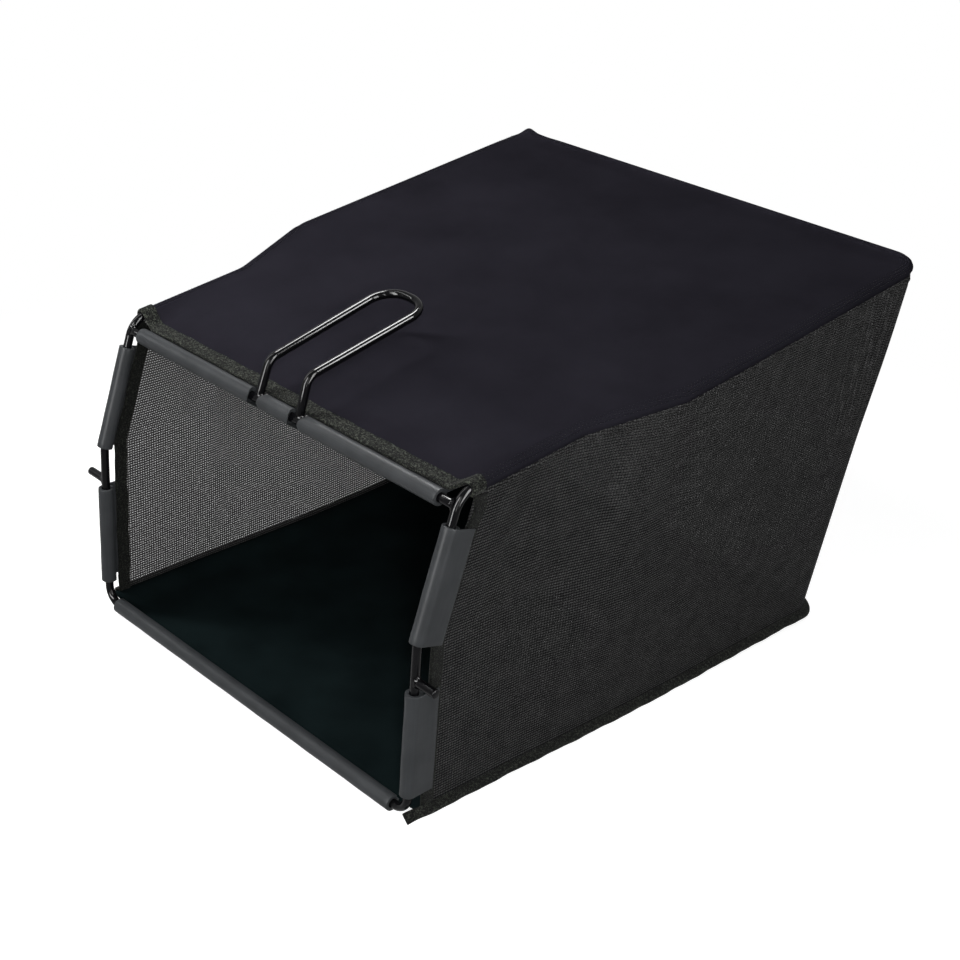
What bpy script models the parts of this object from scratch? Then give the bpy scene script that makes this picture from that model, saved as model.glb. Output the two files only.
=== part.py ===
"""Grass collection bag for a walk-behind garden machine.

A closed loop of steel wire carries a sewn fabric bag. The loop makes the bottom bar and the two
uprights of the mouth, turns back over the top corners and runs round inside the hem of the lid as
far as the rear bar. A cross rod, a lifting handle and two hanging pegs are welded to it. Plastic
channels of P section snap over the wire and are sewn to the fabric, so they hold the mouth open.

Lengths are in metres. X runs across the mouth, Y from the mouth to the rear and Z upwards. The
origin lies on the ground below the middle of the bag. A depth is measured back from the mouth and
a rise is measured up from the centre line of the bottom bar.
"""
import math

import bmesh
import bpy
import numpy as np
from mathutils import Matrix, Vector

# Wire frame
WIRE = 0.007
MOUTH_WIDTH = 0.384
KINK_RISE = 0.146
TOP_RISE = 0.2545
TOP_DEPTH = 0.032
STEP_START_DEPTH = 0.148
STEP_START_RISE = 0.271
STEP_START_WIDTH = 0.390
STEP_END_DEPTH = 0.232
STEP_END_RISE = 0.286
STEP_END_WIDTH = 0.446
BAG_DEPTH = 0.526
REAR_RISE = 0.330
REAR_WIDTH = 0.456
BOTTOM_BEND = 0.014
KINK_BEND = 0.030
TOP_BEND = 0.022
STEP_START_BEND = 0.040
STEP_END_BEND = 0.060
REAR_BEND = 0.022
CROSS_ROD_DROP = 0.0095

# Lifting handle and hanging pegs
HANDLE_WIDTH = 0.048
HANDLE_KNEE_RISE = 0.2795
HANDLE_KNEE_DEPTH = 0.0365
HANDLE_END_RISE = 0.307
HANDLE_END_DEPTH = 0.158
HANDLE_KNEE_BEND = 0.012
HANDLE_END_BEND = 0.021
PEG_RISE = 0.1165
PEG_REACH = 0.022
PEG_DIAMETER = 0.007

# Push-on channels
CHANNEL_DIAMETER = 0.013
CHANNEL_TAIL = 0.019
CHANNEL_TAIL_THICKNESS = 0.0013
TOP_TAIL_TOP = 0.003
SLOT_FROM = math.radians(-50)
SLOT_TO = math.radians(-10)
LOWER_CHANNEL_START = 0.0175
LOWER_CHANNEL_LENGTH = 0.0885
UPPER_CHANNEL_START = 0.004
UPPER_CHANNEL_LENGTH = 0.090
BOTTOM_CHANNEL_INSET = 0.015
TOP_CHANNEL_INSET = 0.016
NOTCH_WIDTH = 0.015
NOTCH_FLOOR = -0.003

# Fabric, tapes and seams
FABRIC = 0.0010
HEM_TAPE = 0.0008
BINDING = 0.0015
GAP = 0.0003
SLEEVE_START = 0.040
SLEEVE_DROP = 0.008
LID_SAG = 0.005
LID_RAMP = 0.042
LID_BLEND = 0.09
HEM_SETBACK = 0.0112
HEM_WIDTH = 0.014
LID_HEM_WIDTH = 0.012
HEM_FOOT = 0.0065
HEM_HEAD = 0.013
FLOOR_DEPTH = 0.487
FLOOR_REAR_WIDTH = 0.424
FLOOR_BEND = 0.022
FLANGE = 0.0075
BINDING_START = -0.004
PANEL_BOW = 0.003

# Values that follow from the ones above
WIRE_RADIUS = WIRE / 2
CHANNEL_RADIUS = CHANNEL_DIAMETER / 2
MOUTH_HALF = MOUTH_WIDTH / 2
BAR_HEIGHT = CHANNEL_RADIUS
SLEEVE_RADIUS = WIRE_RADIUS + GAP + FABRIC / 2
PANEL_OFFSET = SLEEVE_RADIUS - FABRIC - 2 * GAP
TAIL_OUTER = CHANNEL_RADIUS
MIDDLE_DEPTH = (BAG_DEPTH + SLEEVE_RADIUS + FABRIC / 2 - CHANNEL_RADIUS) / 2
FLOOR_HEIGHT = BINDING + GAP + FABRIC / 2
FLANGE_HEIGHT = FLOOR_HEIGHT + FABRIC + GAP
BINDING_HEIGHT = FLANGE_HEIGHT + FABRIC / 2 + GAP + BINDING
PANEL_FRONT = HEM_SETBACK + HEM_TAPE + GAP
CORNER_CLEARANCE = GAP + FABRIC / 4
HEM_HALF = FABRIC / 2 + GAP + HEM_TAPE
FLANGE_REACH = FLANGE - BINDING - GAP
FRAME_BENDS = [BOTTOM_BEND, KINK_BEND, TOP_BEND, STEP_START_BEND, STEP_END_BEND, REAR_BEND]

# Fineness of the model. BEND_STEPS is even, so that a bend has a point in its middle.
WIRE_FINENESS = 4
BEND_STEPS = 6
RING_STEPS = 16
LIP_STEPS = 4
TIP_STEPS = 4
FOLD_STEPS = 4
SLEEVE_STEPS = 3
NOTCH_SIDES = 24
LID_COLUMNS = 14
PANEL_ROWS = 9
FLOOR_COLUMNS = 8
REAR_COLUMNS = 8
PANEL_RUN = 0.05
FLOOR_RUN = 0.06
BINDING_RUN = 0.12
WELD_DISTANCE = 0.00001

COLLECTION = "grass_collection_bag"


def place(x, depth, rise):
    """Point of the part from its distance across, back from the mouth and up from the bar."""
    return Vector((x, depth - MIDDLE_DEPTH, rise + BAR_HEIGHT))


def clear_scene():
    for thing in list(bpy.data.objects):
        bpy.data.objects.remove(thing, do_unlink=True)


def make_collection(name):
    collection = bpy.data.collections.new(name)
    bpy.context.scene.collection.children.link(collection)
    return collection


def make_material(name, colour, roughness, metallic=0.0):
    material = bpy.data.materials.new(name)
    material.use_nodes = True
    shader = material.node_tree.nodes["Principled BSDF"]
    shader.inputs["Base Color"].default_value = (*colour, 1.0)
    shader.inputs["Roughness"].default_value = roughness
    shader.inputs["Metallic"].default_value = metallic
    return material


def finish_node(node, collection, material):
    """Files the object under its collection and gives it its material."""
    collection.objects.link(node)
    node.data.materials.clear()
    node.data.materials.append(material)
    return node


def rounded_path(corners, bends, closed=False):
    """Straight runs between the corners, with an arc of the given radius at each of them."""
    points = []
    count = len(corners)
    for index, corner in enumerate(corners):
        ends_here = not closed and index in (0, count - 1)
        if ends_here or not bends[index]:
            points.append(corner.copy())
            continue
        back = (corners[index - 1] - corner).normalized()
        ahead = (corners[(index + 1) % count] - corner).normalized()
        half_angle = back.angle(ahead) / 2
        inward = (back + ahead).normalized()
        centre = corner + inward * (bends[index] / math.sin(half_angle))
        first = corner + back * (bends[index] / math.tan(half_angle)) - centre
        axis = back.cross(ahead).normalized()
        sweep = -(math.pi - 2 * half_angle)
        for step in range(BEND_STEPS + 1):
            turn = Matrix.Rotation(sweep * step / BEND_STEPS, 3, axis)
            points.append(centre + turn @ first)
    return points


def frame_corners(side):
    """Corners of one half of the frame loop, from the bottom bar to the rear bar."""
    return [
        place(side * MOUTH_HALF, 0, 0),
        place(side * MOUTH_HALF, 0, KINK_RISE),
        place(side * MOUTH_HALF, TOP_DEPTH, TOP_RISE),
        place(side * STEP_START_WIDTH / 2, STEP_START_DEPTH, STEP_START_RISE),
        place(side * STEP_END_WIDTH / 2, STEP_END_DEPTH, STEP_END_RISE),
        place(side * REAR_WIDTH / 2, BAG_DEPTH, REAR_RISE),
    ]


def frame_loop():
    corners = frame_corners(-1) + frame_corners(1)[::-1]
    return rounded_path(corners, FRAME_BENDS + FRAME_BENDS[::-1], closed=True)


def half_frame(side):
    """Centre line of one half of the frame, with the whole rear corner and no bottom bend."""
    corners = frame_corners(side)
    far_corner = place(-side * REAR_WIDTH / 2, BAG_DEPTH, REAR_RISE)
    return rounded_path(corners + [far_corner], FRAME_BENDS + [0])


def wire(name, points, radius, collection, material, closed=False):
    """A round wire along the points, with flat ends unless it is closed."""
    curve = bpy.data.curves.new(name, "CURVE")
    curve.dimensions = "3D"
    curve.bevel_depth = radius
    curve.bevel_resolution = WIRE_FINENESS
    curve.use_fill_caps = not closed
    spline = curve.splines.new("POLY")
    spline.points.add(len(points) - 1)
    for target, point in zip(spline.points, points):
        target.co = (*point, 1.0)
    spline.use_cyclic_u = closed
    return finish_node(bpy.data.objects.new(name, curve), collection, material)


def arc(radius, start, end, steps):
    return [
        (radius * math.cos(start + (end - start) * step / steps),
         radius * math.sin(start + (end - start) * step / steps))
        for step in range(steps + 1)
    ]


def channel_outline(tail_outer):
    """P section: a ring, slit so that it snaps on the wire, and the flat tail to sew, its tip round."""
    inner_radius = WIRE_RADIUS + GAP
    tail_inner = tail_outer - CHANNEL_TAIL_THICKNESS
    tail_from = math.asin(min(tail_outer / CHANNEL_RADIUS, 1.0))
    tail_to = math.asin(tail_inner / CHANNEL_RADIUS)
    half = CHANNEL_TAIL_THICKNESS / 2
    outline = [(across + CHANNEL_TAIL - half, up + tail_outer - half)
               for across, up in arc(half, -math.pi / 2, math.pi / 2, TIP_STEPS)]
    outline += arc(CHANNEL_RADIUS, tail_from, SLOT_FROM + 2 * math.pi, RING_STEPS)
    outline += arc(inner_radius, SLOT_FROM + 2 * math.pi, SLOT_TO, RING_STEPS)
    outline += arc(CHANNEL_RADIUS, SLOT_TO, tail_to, LIP_STEPS)
    return outline


def channel(name, start, end, tail_way, outward, tail_outer, collection, material):
    """The P section drawn out between two points of the wire."""
    curve = bpy.data.curves.new(name, "CURVE")
    curve.dimensions = "2D"
    curve.fill_mode = "BOTH"
    curve.extrude = (end - start).length / 2
    outline = channel_outline(tail_outer)
    spline = curve.splines.new("POLY")
    spline.points.add(len(outline) - 1)
    for target, (across, up) in zip(spline.points, outline):
        target.co = (across, up, 0.0, 1.0)
    spline.use_cyclic_u = True
    node = bpy.data.objects.new(name, curve)
    axes = Matrix((tail_way, outward, tail_way.cross(outward))).transposed()
    node.matrix_world = Matrix.Translation((start + end) / 2) @ axes.to_4x4()
    return finish_node(node, collection, material)


def curve_to_mesh(node, collection, material):
    """Replaces a curve object by its welded mesh in the same place, ready to be cut."""
    bpy.context.view_layer.update()
    evaluated = node.evaluated_get(bpy.context.evaluated_depsgraph_get())
    mesh = bpy.data.meshes.new_from_object(evaluated)
    welded = bmesh.new()
    welded.from_mesh(mesh)
    bmesh.ops.remove_doubles(welded, verts=welded.verts, dist=WELD_DISTANCE)
    welded.to_mesh(mesh)
    welded.free()
    name = node.name
    matrix = node.matrix_world.copy()
    bpy.data.objects.remove(node, do_unlink=True)
    solid = bpy.data.objects.new(name, mesh)
    solid.matrix_world = matrix
    return finish_node(solid, collection, material)


def cut(node, cutter):
    modifier = node.modifiers.new("cut " + cutter.name, "BOOLEAN")
    modifier.operation = "DIFFERENCE"
    modifier.solver = "EXACT"
    modifier.object = cutter


def rod_cutter(name, start, end, radius, cutters):
    """A hidden cylinder between two points, to cut with."""
    mesh = bpy.data.meshes.new(name)
    shape = bmesh.new()
    length = (end - start).length
    bmesh.ops.create_cone(shape, cap_ends=True, segments=NOTCH_SIDES, radius1=radius, radius2=radius,
                          depth=length)
    shape.to_mesh(mesh)
    shape.free()
    cutter = bpy.data.objects.new(name, mesh)
    turn = (end - start).to_track_quat("Z", "Y").to_matrix().to_4x4()
    cutter.matrix_world = Matrix.Translation((start + end) / 2) @ turn
    cutters.objects.link(cutter)
    cutter.hide_render = True
    cutter.display_type = "WIRE"
    return cutter


def mesh_node(name, points, faces, collection, material):
    mesh = bpy.data.meshes.new(name)
    mesh.from_pydata([tuple(point) for point in points], [], faces)
    mesh.update()
    node = bpy.data.objects.new(name, mesh)
    for polygon in mesh.polygons:
        polygon.use_smooth = True
    return finish_node(node, collection, material)


def cloth(name, points, faces, collection, material):
    """A sheet of fabric: an open surface with the fabric's thickness, half on each side."""
    node = mesh_node(name, points, faces, collection, material)
    shell = node.modifiers.new("thickness", "SOLIDIFY")
    shell.thickness = FABRIC
    shell.offset = 0.0
    shell.use_even_offset = True
    return node


def grid_faces(rows, columns, first=0, turned=False):
    faces = []
    for row in range(rows - 1):
        for column in range(columns - 1):
            corner = first + row * columns + column
            face = (corner, corner + 1, corner + columns + 1, corner + columns)
            faces.append(face[::-1] if turned else face)
    return faces


def swept(name, sections, collection, material, turned=False):
    """A closed solid through like sections, one after the other, with flat ends."""
    count = len(sections[0])
    points = [point for section in sections for point in section]
    faces = []
    for station in range(len(sections) - 1):
        for index in range(count):
            here = station * count
            after = (index + 1) % count
            faces.append((here + index, here + after, here + count + after, here + count + index))
    faces.append(tuple(range(count))[::-1])
    faces.append(tuple(range(len(points) - count, len(points))))
    if turned:
        faces = [face[::-1] for face in faces]
    return mesh_node(name, points, faces, collection, material)


def spaced(points, longest):
    """The same line with extra points, so that no run is longer than the given length."""
    line = [points[0]]
    for start, end in zip(points, points[1:]):
        runs = max(1, math.ceil((end - start).length / longest))
        line += [start.lerp(end, step / runs) for step in range(1, runs + 1)]
    return line


def resampled(points, fractions):
    """Points of the line at the given fractions of its length."""
    line = np.array([tuple(point) for point in points])
    runs = np.linalg.norm(np.diff(line, axis=0), axis=1)
    travelled = np.concatenate([[0.0], np.cumsum(runs)])
    wanted = np.asarray(fractions) * travelled[-1]
    return [Vector(values) for values in np.stack(
        [np.interp(wanted, travelled, line[:, axis]) for axis in range(3)], axis=-1)]


def fractions_of(points):
    line = np.array([tuple(point) for point in points])
    travelled = np.concatenate([[0.0], np.cumsum(np.linalg.norm(np.diff(line, axis=0), axis=1))])
    return travelled / travelled[-1]


def smooth_step(value):
    value = min(max(value, 0.0), 1.0)
    return value * value * (3 - 2 * value)


def outward_normals(line):
    """Level normals of a line that runs round the bag from the left front to the right front."""
    runs = [(end - start).normalized() for start, end in zip(line, line[1:])]
    runs = [runs[0]] + runs + [runs[-1]]
    return [Vector((-(near.y + far.y), near.x + far.x, 0)).normalized()
            for near, far in zip(runs, runs[1:])]


def cross_rod_centre():
    """Where the cross rod meets the upright: a little below the virtual top corner."""
    lean = Vector((0, TOP_DEPTH, TOP_RISE - KINK_RISE)).normalized()
    return TOP_DEPTH - lean.y * CROSS_ROD_DROP, TOP_RISE - lean.z * CROSS_ROD_DROP


def build_wires(collection, steel):
    wire("frame_rod", frame_loop(), WIRE_RADIUS, collection, steel, closed=True)
    depth, rise = cross_rod_centre()
    reach = MOUTH_HALF - WIRE_RADIUS - GAP
    ends = [place(-reach, depth, rise), place(reach, depth, rise)]
    wire("top_cross_rod", ends, WIRE_RADIUS, collection, steel)
    wire("handle", handle_path(), WIRE_RADIUS, collection, steel)
    for side, name in ((-1, "left_peg"), (1, "right_peg")):
        root = place(side * (MOUTH_HALF + WIRE_RADIUS + GAP), 0, PEG_RISE)
        tip = place(side * (MOUTH_HALF + PEG_REACH), 0, PEG_RISE)
        wire(name, [root, tip], PEG_DIAMETER / 2, collection, steel)


def handle_foot(side):
    """Foot of one leg of the handle, just clear of the cross rod it is welded to."""
    depth, rise = cross_rod_centre()
    seat = place(side * HANDLE_WIDTH / 2, depth, rise)
    knee = place(side * HANDLE_WIDTH / 2, HANDLE_KNEE_DEPTH, HANDLE_KNEE_RISE)
    way = (knee - seat).normalized()
    return seat, seat + way * (WIRE_RADIUS + GAP), knee


def handle_path():
    """One bent wire: up from the cross rod, back over the lid, round its end and back again."""
    left, right = handle_foot(-1), handle_foot(1)
    ends = [place(side * HANDLE_WIDTH / 2, HANDLE_END_DEPTH, HANDLE_END_RISE) for side in (-1, 1)]
    corners = [left[1], left[2], ends[0], ends[1], right[2], right[1]]
    bends = [0, HANDLE_KNEE_BEND, HANDLE_END_BEND, HANDLE_END_BEND, HANDLE_KNEE_BEND, 0]
    return rounded_path(corners, bends)


def build_channels(collection, cutters, plastic):
    back = Vector((0, 1, 0))
    reach = MOUTH_HALF - BOTTOM_CHANNEL_INSET
    channel("bottom_channel", place(-reach, 0, 0), place(reach, 0, 0), back,
            Vector((0, 0, -1)), TAIL_OUTER, collection, plastic)
    for side, word in ((-1, "left"), (1, "right")):
        outward = Vector((side, 0, 0))
        foot = place(side * MOUTH_HALF, 0, LOWER_CHANNEL_START)
        head = place(side * MOUTH_HALF, 0, LOWER_CHANNEL_START + LOWER_CHANNEL_LENGTH)
        channel(word + "_lower_channel", foot, head, back, outward, TAIL_OUTER, collection, plastic)
        kink = place(side * MOUTH_HALF, 0, KINK_RISE)
        lean = (place(side * MOUTH_HALF, TOP_DEPTH, TOP_RISE) - kink).normalized()
        tail_way = Vector((0, lean.z, -lean.y))
        foot = kink + lean * UPPER_CHANNEL_START
        head = foot + lean * UPPER_CHANNEL_LENGTH
        channel(word + "_upper_channel", foot, head, tail_way, outward, TAIL_OUTER, collection, plastic)
    depth, rise = cross_rod_centre()
    reach = MOUTH_HALF - TOP_CHANNEL_INSET
    top = channel("top_channel", place(-reach, depth, rise), place(reach, depth, rise), back,
                  Vector((0, 0, 1)), TOP_TAIL_TOP, collection, plastic)
    top = curve_to_mesh(top, collection, plastic)
    for side, word in ((-1, "left"), (1, "right")):
        seat, _, knee = handle_foot(side)
        floor = seat + (knee - seat).normalized() * NOTCH_FLOOR
        cut(top, rod_cutter(word + "_notch", floor, knee, NOTCH_WIDTH / 2, cutters))


def lid_front():
    """Depth and rise of the lid's front edge where it runs along the top channel."""
    depth, rise = cross_rod_centre()
    channel_rise = rise + TOP_TAIL_TOP + 2 * GAP + HEM_TAPE + FABRIC / 2
    channel_depth = depth + CHANNEL_RADIUS + HEM_TAPE + GAP
    return channel_depth, channel_rise


def side_wire(depth):
    """Left wire at a depth on its first straight run behind the top bend."""
    share = (depth - TOP_DEPTH) / (STEP_START_DEPTH - TOP_DEPTH)
    half = MOUTH_HALF + share * (STEP_START_WIDTH / 2 - MOUTH_HALF)
    return place(-half, depth, TOP_RISE + share * (STEP_START_RISE - TOP_RISE))


def lid_rows():
    """Left edge of the lid over the wire, from the front to the start of the rear bar."""
    second = SLEEVE_START + LID_HEM_WIDTH + HEM_TAPE + GAP
    line = [point for point in half_frame(-1) if point.y + MIDDLE_DEPTH > second + WIRE][:-1]
    return [side_wire(SLEEVE_START)] + spaced([side_wire(second)] + line, PANEL_RUN)


def lid_surface():
    """Middle surface of the lid between the wires: rows from the front, columns left to right."""
    left = lid_rows()
    channel_depth, channel_rise = lid_front()
    front_drop = left[0].z - BAR_HEIGHT + SLEEVE_RADIUS - channel_rise
    front_shift = SLEEVE_START - channel_depth
    length = left[-1].y - left[0].y
    rows = []
    for point in left:
        share = (point.y - left[0].y) / length
        near_front = 1 - smooth_step(share * length / LID_BLEND)
        row = []
        for column in range(LID_COLUMNS + 1):
            across = -math.cos(math.pi * column / LID_COLUMNS)
            x = -across * point.x
            inner = smooth_step((abs(point.x) - abs(x)) / LID_RAMP)
            sag = LID_SAG * math.sin(math.pi * share) * (1 - across * across)
            row.append(Vector((x, point.y - front_shift * inner * near_front,
                               point.z + SLEEVE_RADIUS - sag - front_drop * inner * near_front)))
        rows.append(row)
    return rows


def sleeve_offsets():
    """The hem of the lid in section: a quarter turn round the wire, then straight down."""
    angles = [math.pi / 2 * step / SLEEVE_STEPS for step in range(1, SLEEVE_STEPS + 1)]
    turn = [(SLEEVE_RADIUS * math.sin(angle), SLEEVE_RADIUS * (math.cos(angle) - 1)) for angle in angles]
    return turn + [(SLEEVE_RADIUS, -SLEEVE_RADIUS - SLEEVE_DROP)]


def build_lid(collection, fabric):
    rows = lid_surface()
    columns = LID_COLUMNS + 1
    points = [point for row in rows for point in row]
    faces = grid_faces(len(rows), columns)
    rim = [index * columns for index in range(len(rows))]
    rim += [(len(rows) - 1) * columns + column for column in range(1, columns)]
    rim += [index * columns + columns - 1 for index in range(len(rows) - 2, -1, -1)]
    normals = outward_normals([points[index] for index in rim])
    previous = rim
    for outward, up in sleeve_offsets():
        first = len(points)
        for index, normal in zip(rim, normals):
            points.append(points[index] + normal * outward + Vector((0, 0, up)))
        ring = list(range(first, first + len(rim)))
        for step in range(len(rim) - 1):
            faces.append((previous[step], previous[step + 1], ring[step + 1], ring[step]))
        previous = ring
    cloth("top_panel", points, faces, collection, fabric)


def build_lid_hem(collection, tape):
    """Folded tape over the front edge of the lid."""
    front, second = lid_surface()[:2]
    end = MOUTH_HALF - 2 * WIRE_RADIUS
    xs = [-end] + [point.x for point in front if abs(point.x) < end - WIRE_RADIUS] + [end]
    section = fold_section(-HEM_TAPE - GAP, LID_HEM_WIDTH - HEM_TAPE - GAP, -HEM_HALF, HEM_HALF, HEM_TAPE)
    sections = []
    for x in xs:
        edge, way = at_x(front, x), at_x(second, x) - at_x(front, x)
        way = Vector((0, way.y, way.z)).normalized()
        up = Vector((0, -way.z, way.y))
        sections.append([edge + way * along + up * rise for along, rise in section])
    swept("top_front_hem", sections, collection, tape)


def at_x(line, x):
    """Point of a line from left to right at a given place across."""
    across = [point.x for point in line]
    return Vector((x, np.interp(x, across, [point.y for point in line]),
                   np.interp(x, across, [point.z for point in line])))


def fold_section(closed_end, open_end, low, high, thickness):
    """Folded tape in section: two legs along the first axis, and a half round fold at one end."""
    way = 1 if open_end > closed_end else -1
    web = closed_end + way * thickness
    radius = (high - low) / 2
    fold = [(closed_end + way * (radius - across), (low + high) / 2 + up)
            for across, up in arc(radius, math.pi / 2, -math.pi / 2, FOLD_STEPS)]
    return fold + [(open_end, low), (open_end, low + thickness), (web, low + thickness),
                   (web, high - thickness), (open_end, high - thickness), (open_end, high)]


def upright_line(side, setback, foot, head):
    """Line behind one upright of the mouth, at a distance from the centre of the wire."""
    corners = frame_corners(side)
    kink_arc = rounded_path(corners[:3], [0, KINK_BEND, 0])
    line = []
    for index, point in enumerate(kink_arc):
        ahead = kink_arc[min(index + 1, len(kink_arc) - 1)] - kink_arc[max(index - 1, 0)]
        ahead.normalize()
        line.append(point + Vector((0, ahead.z, -ahead.y)) * setback)
    line[0].z = foot
    lean = (line[-1] - line[-2]).normalized()
    line[-1] += lean * ((head - line[-1].z) / lean.z)
    return line


def hem_stations(rows, foot, head):
    """Points of a panel's front edge between two heights, each with the way back into the panel."""
    heights = [row[0].z for row in rows]
    levels = [foot] + [height for height in heights if foot + HEM_TAPE < height < head - HEM_TAPE] + [head]
    stations = []
    for level in levels:
        after = next(index for index, height in enumerate(heights) if height >= level)
        share = (level - heights[after - 1]) / (heights[after] - heights[after - 1])
        edge = rows[after - 1][0].lerp(rows[after][0], share)
        behind = rows[after - 1][1].lerp(rows[after][1], share)
        stations.append((edge, (behind - edge).normalized()))
    return stations


def build_mouth_hems(collection, tape):
    """Folded tapes over the front edges of the side panels."""
    section = fold_section(-HEM_TAPE - GAP, HEM_WIDTH - HEM_TAPE - GAP, -HEM_HALF, HEM_HALF, HEM_TAPE)
    head = BAR_HEIGHT + TOP_RISE - HEM_HEAD
    for side, name in ((-1, "left_mouth_hem"), (1, "right_mouth_hem")):
        sections = []
        for edge, way in hem_stations(side_rows(side), HEM_FOOT, head):
            outward = Vector((side, 0, 0)) - way * way.x * side
            outward.normalize()
            sections.append([edge + way * along + outward * out for along, out in section])
        swept(name, sections, collection, tape, turned=side > 0)


def floor_seam(start_depth):
    """Foot of the left panel's middle surface from a depth, up to the end of the rear bend."""
    front_half = MOUTH_HALF + PANEL_OFFSET
    rear_half = FLOOR_REAR_WIDTH / 2
    half = front_half + (rear_half - front_half) * start_depth / FLOOR_DEPTH
    corners = [
        Vector((-half, start_depth - MIDDLE_DEPTH, 0)),
        Vector((-rear_half, FLOOR_DEPTH - MIDDLE_DEPTH, 0)),
        Vector((rear_half, FLOOR_DEPTH - MIDDLE_DEPTH, 0)),
    ]
    return rounded_path(corners, [0, FLOOR_BEND, 0])[:-1]


def matched(line, like, tail):
    """The line with its first straight run divided as in the other line, which ends alike."""
    start, end = line[0], line[-tail]
    run = [start.lerp(end, share) for share in fractions_of(like[:len(like) - tail + 1])]
    return run + line[len(line) - tail + 1:]


def mirrored(line):
    return [Vector((-point.x, point.y, point.z)) for point in line]


def wall_lines():
    """The wire and the floor seam right round the walls, station by station, and the corner's place."""
    wire_front = upright_line(-1, PANEL_FRONT, 0, place(0, 0, TOP_RISE).z)[-1].y
    start = side_wire(wire_front + MIDDLE_DEPTH)
    left_wire = [point for point in half_frame(-1) if point.y > wire_front + WIRE][:-1]
    left_wire = spaced([start] + left_wire, PANEL_RUN)
    left_foot = matched(floor_seam(PANEL_FRONT), left_wire, BEND_STEPS + 1)
    lines = []
    for left in (left_wire, left_foot):
        rear = [left[-1].lerp(mirrored(left)[-1], share / REAR_COLUMNS) for share in range(1, REAR_COLUMNS)]
        lines.append(left + rear + mirrored(left)[::-1])
    return lines[0], at_height(lines[1], FLANGE_HEIGHT), len(left_wire) - 1 - BEND_STEPS // 2


def coons(bottom, top, front, rear):
    """Rows of a patch between four border lines, from the bottom up."""
    rows = []
    count = len(bottom) - 1
    across = fractions_of(bottom)
    for level in range(len(front)):
        up = level / (len(front) - 1)
        row = []
        for index in range(count + 1):
            share = across[index]
            ruled = bottom[index].lerp(top[index], up) + front[level].lerp(rear[level], share)
            low = bottom[0].lerp(bottom[-1], share)
            high = top[0].lerp(top[-1], share)
            row.append(ruled - low.lerp(high, up))
        rows.append(row)
    return rows


def bowed(rows, outward, amount):
    """The same rows, pushed out most in their middle as slack fabric is."""
    for level, row in enumerate(rows):
        for index in range(len(row)):
            upward = math.sin(math.pi * level / (len(rows) - 1)) ** 2
            along = math.sin(math.pi * index / (len(row) - 1)) ** 2
            row[index] = row[index] + outward * amount * upward * along
    return rows


def flanged(rows, normals):
    """Adds the flange that is turned out along the ground and held in the binding."""
    flange = [[point + normal * FLANGE_REACH * share for point, normal in zip(rows[0], normals)]
              for share in (1.0, 0.5)]
    return flange + rows


def panel(name, rows, collection, fabric, turned):
    points = [point for row in rows for point in row]
    cloth(name, points, grid_faces(len(rows), len(rows[0]), turned=turned), collection, fabric)


def at_height(points, height):
    return [Vector((point.x, point.y, height)) for point in points]


def wall_borders():
    """Foot and head of the walls, with the foot's normals, for each of the three panels."""
    wires, feet, corner = wall_lines()
    drop = Vector((0, 0, -(WIRE_RADIUS + GAP + FABRIC / 2)))
    heads = [point + normal * PANEL_OFFSET + drop
             for point, normal in zip(wires, outward_normals(wires))]
    normals = outward_normals(feet)
    last = len(feet) - 1
    spans = {"left": (0, corner), "rear": (corner, last - corner), "right": (last - corner, last)}
    borders = {}
    for word, (first, end) in spans.items():
        part = slice(first, end + 1)
        clear = (first != 0, end != last)
        borders[word] = (trimmed(feet[part], *clear), trimmed(heads[part], *clear), normals[part])
    return borders


def trimmed(line, at_start, at_end):
    """The line less a small gap at an end where the next panel's edge lies against it."""
    line = list(line)
    if at_start:
        line[0] = line[0] + (line[1] - line[0]).normalized() * CORNER_CLEARANCE
    if at_end:
        line[-1] = line[-1] + (line[-2] - line[-1]).normalized() * CORNER_CLEARANCE
    return line


def ruled(foot, head):
    return [foot.lerp(head, level / (PANEL_ROWS - 1)) for level in range(PANEL_ROWS)]


def side_rows(side):
    """Middle surface of a side panel above its flange: rows from the foot, columns to the rear."""
    bottom, top, _ = wall_borders()["left" if side < 0 else "right"]
    if side > 0:
        bottom, top = bottom[::-1], top[::-1]
    bare = upright_line(side, PANEL_FRONT, FLANGE_HEIGHT, top[0].z)
    front = [point + Vector((side * PANEL_OFFSET, 0, 0)) for point in bare]
    front[0], front[-1] = bottom[0], top[0]
    front = resampled(front, np.linspace(0, 1, PANEL_ROWS))
    rows = coons(bottom, top, front, ruled(bottom[-1], top[-1]))
    return bowed(rows, Vector((side, 0, 0)), PANEL_BOW)


def build_walls(collection, fabric):
    """The two side panels and the rear panel."""
    borders = wall_borders()
    for side, word in ((-1, "left"), (1, "right")):
        normals = borders[word][2]
        rows = flanged(side_rows(side), normals if side < 0 else normals[::-1])
        panel(word + "_side_panel", rows, collection, fabric, turned=side < 0)
    bottom, top, normals = borders["rear"]
    rows = coons(bottom, top, ruled(bottom[0], top[0]), ruled(bottom[-1], top[-1]))
    rows = flanged(bowed(rows, Vector((0, 1, 0)), PANEL_BOW), normals)
    panel("rear_panel", rows, collection, fabric, turned=False)


def floor_outline(start_depth):
    """The floor seam all the way round, from the left front to the right front."""
    left = floor_seam(start_depth)
    return left + mirrored(left)[::-1]


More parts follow.
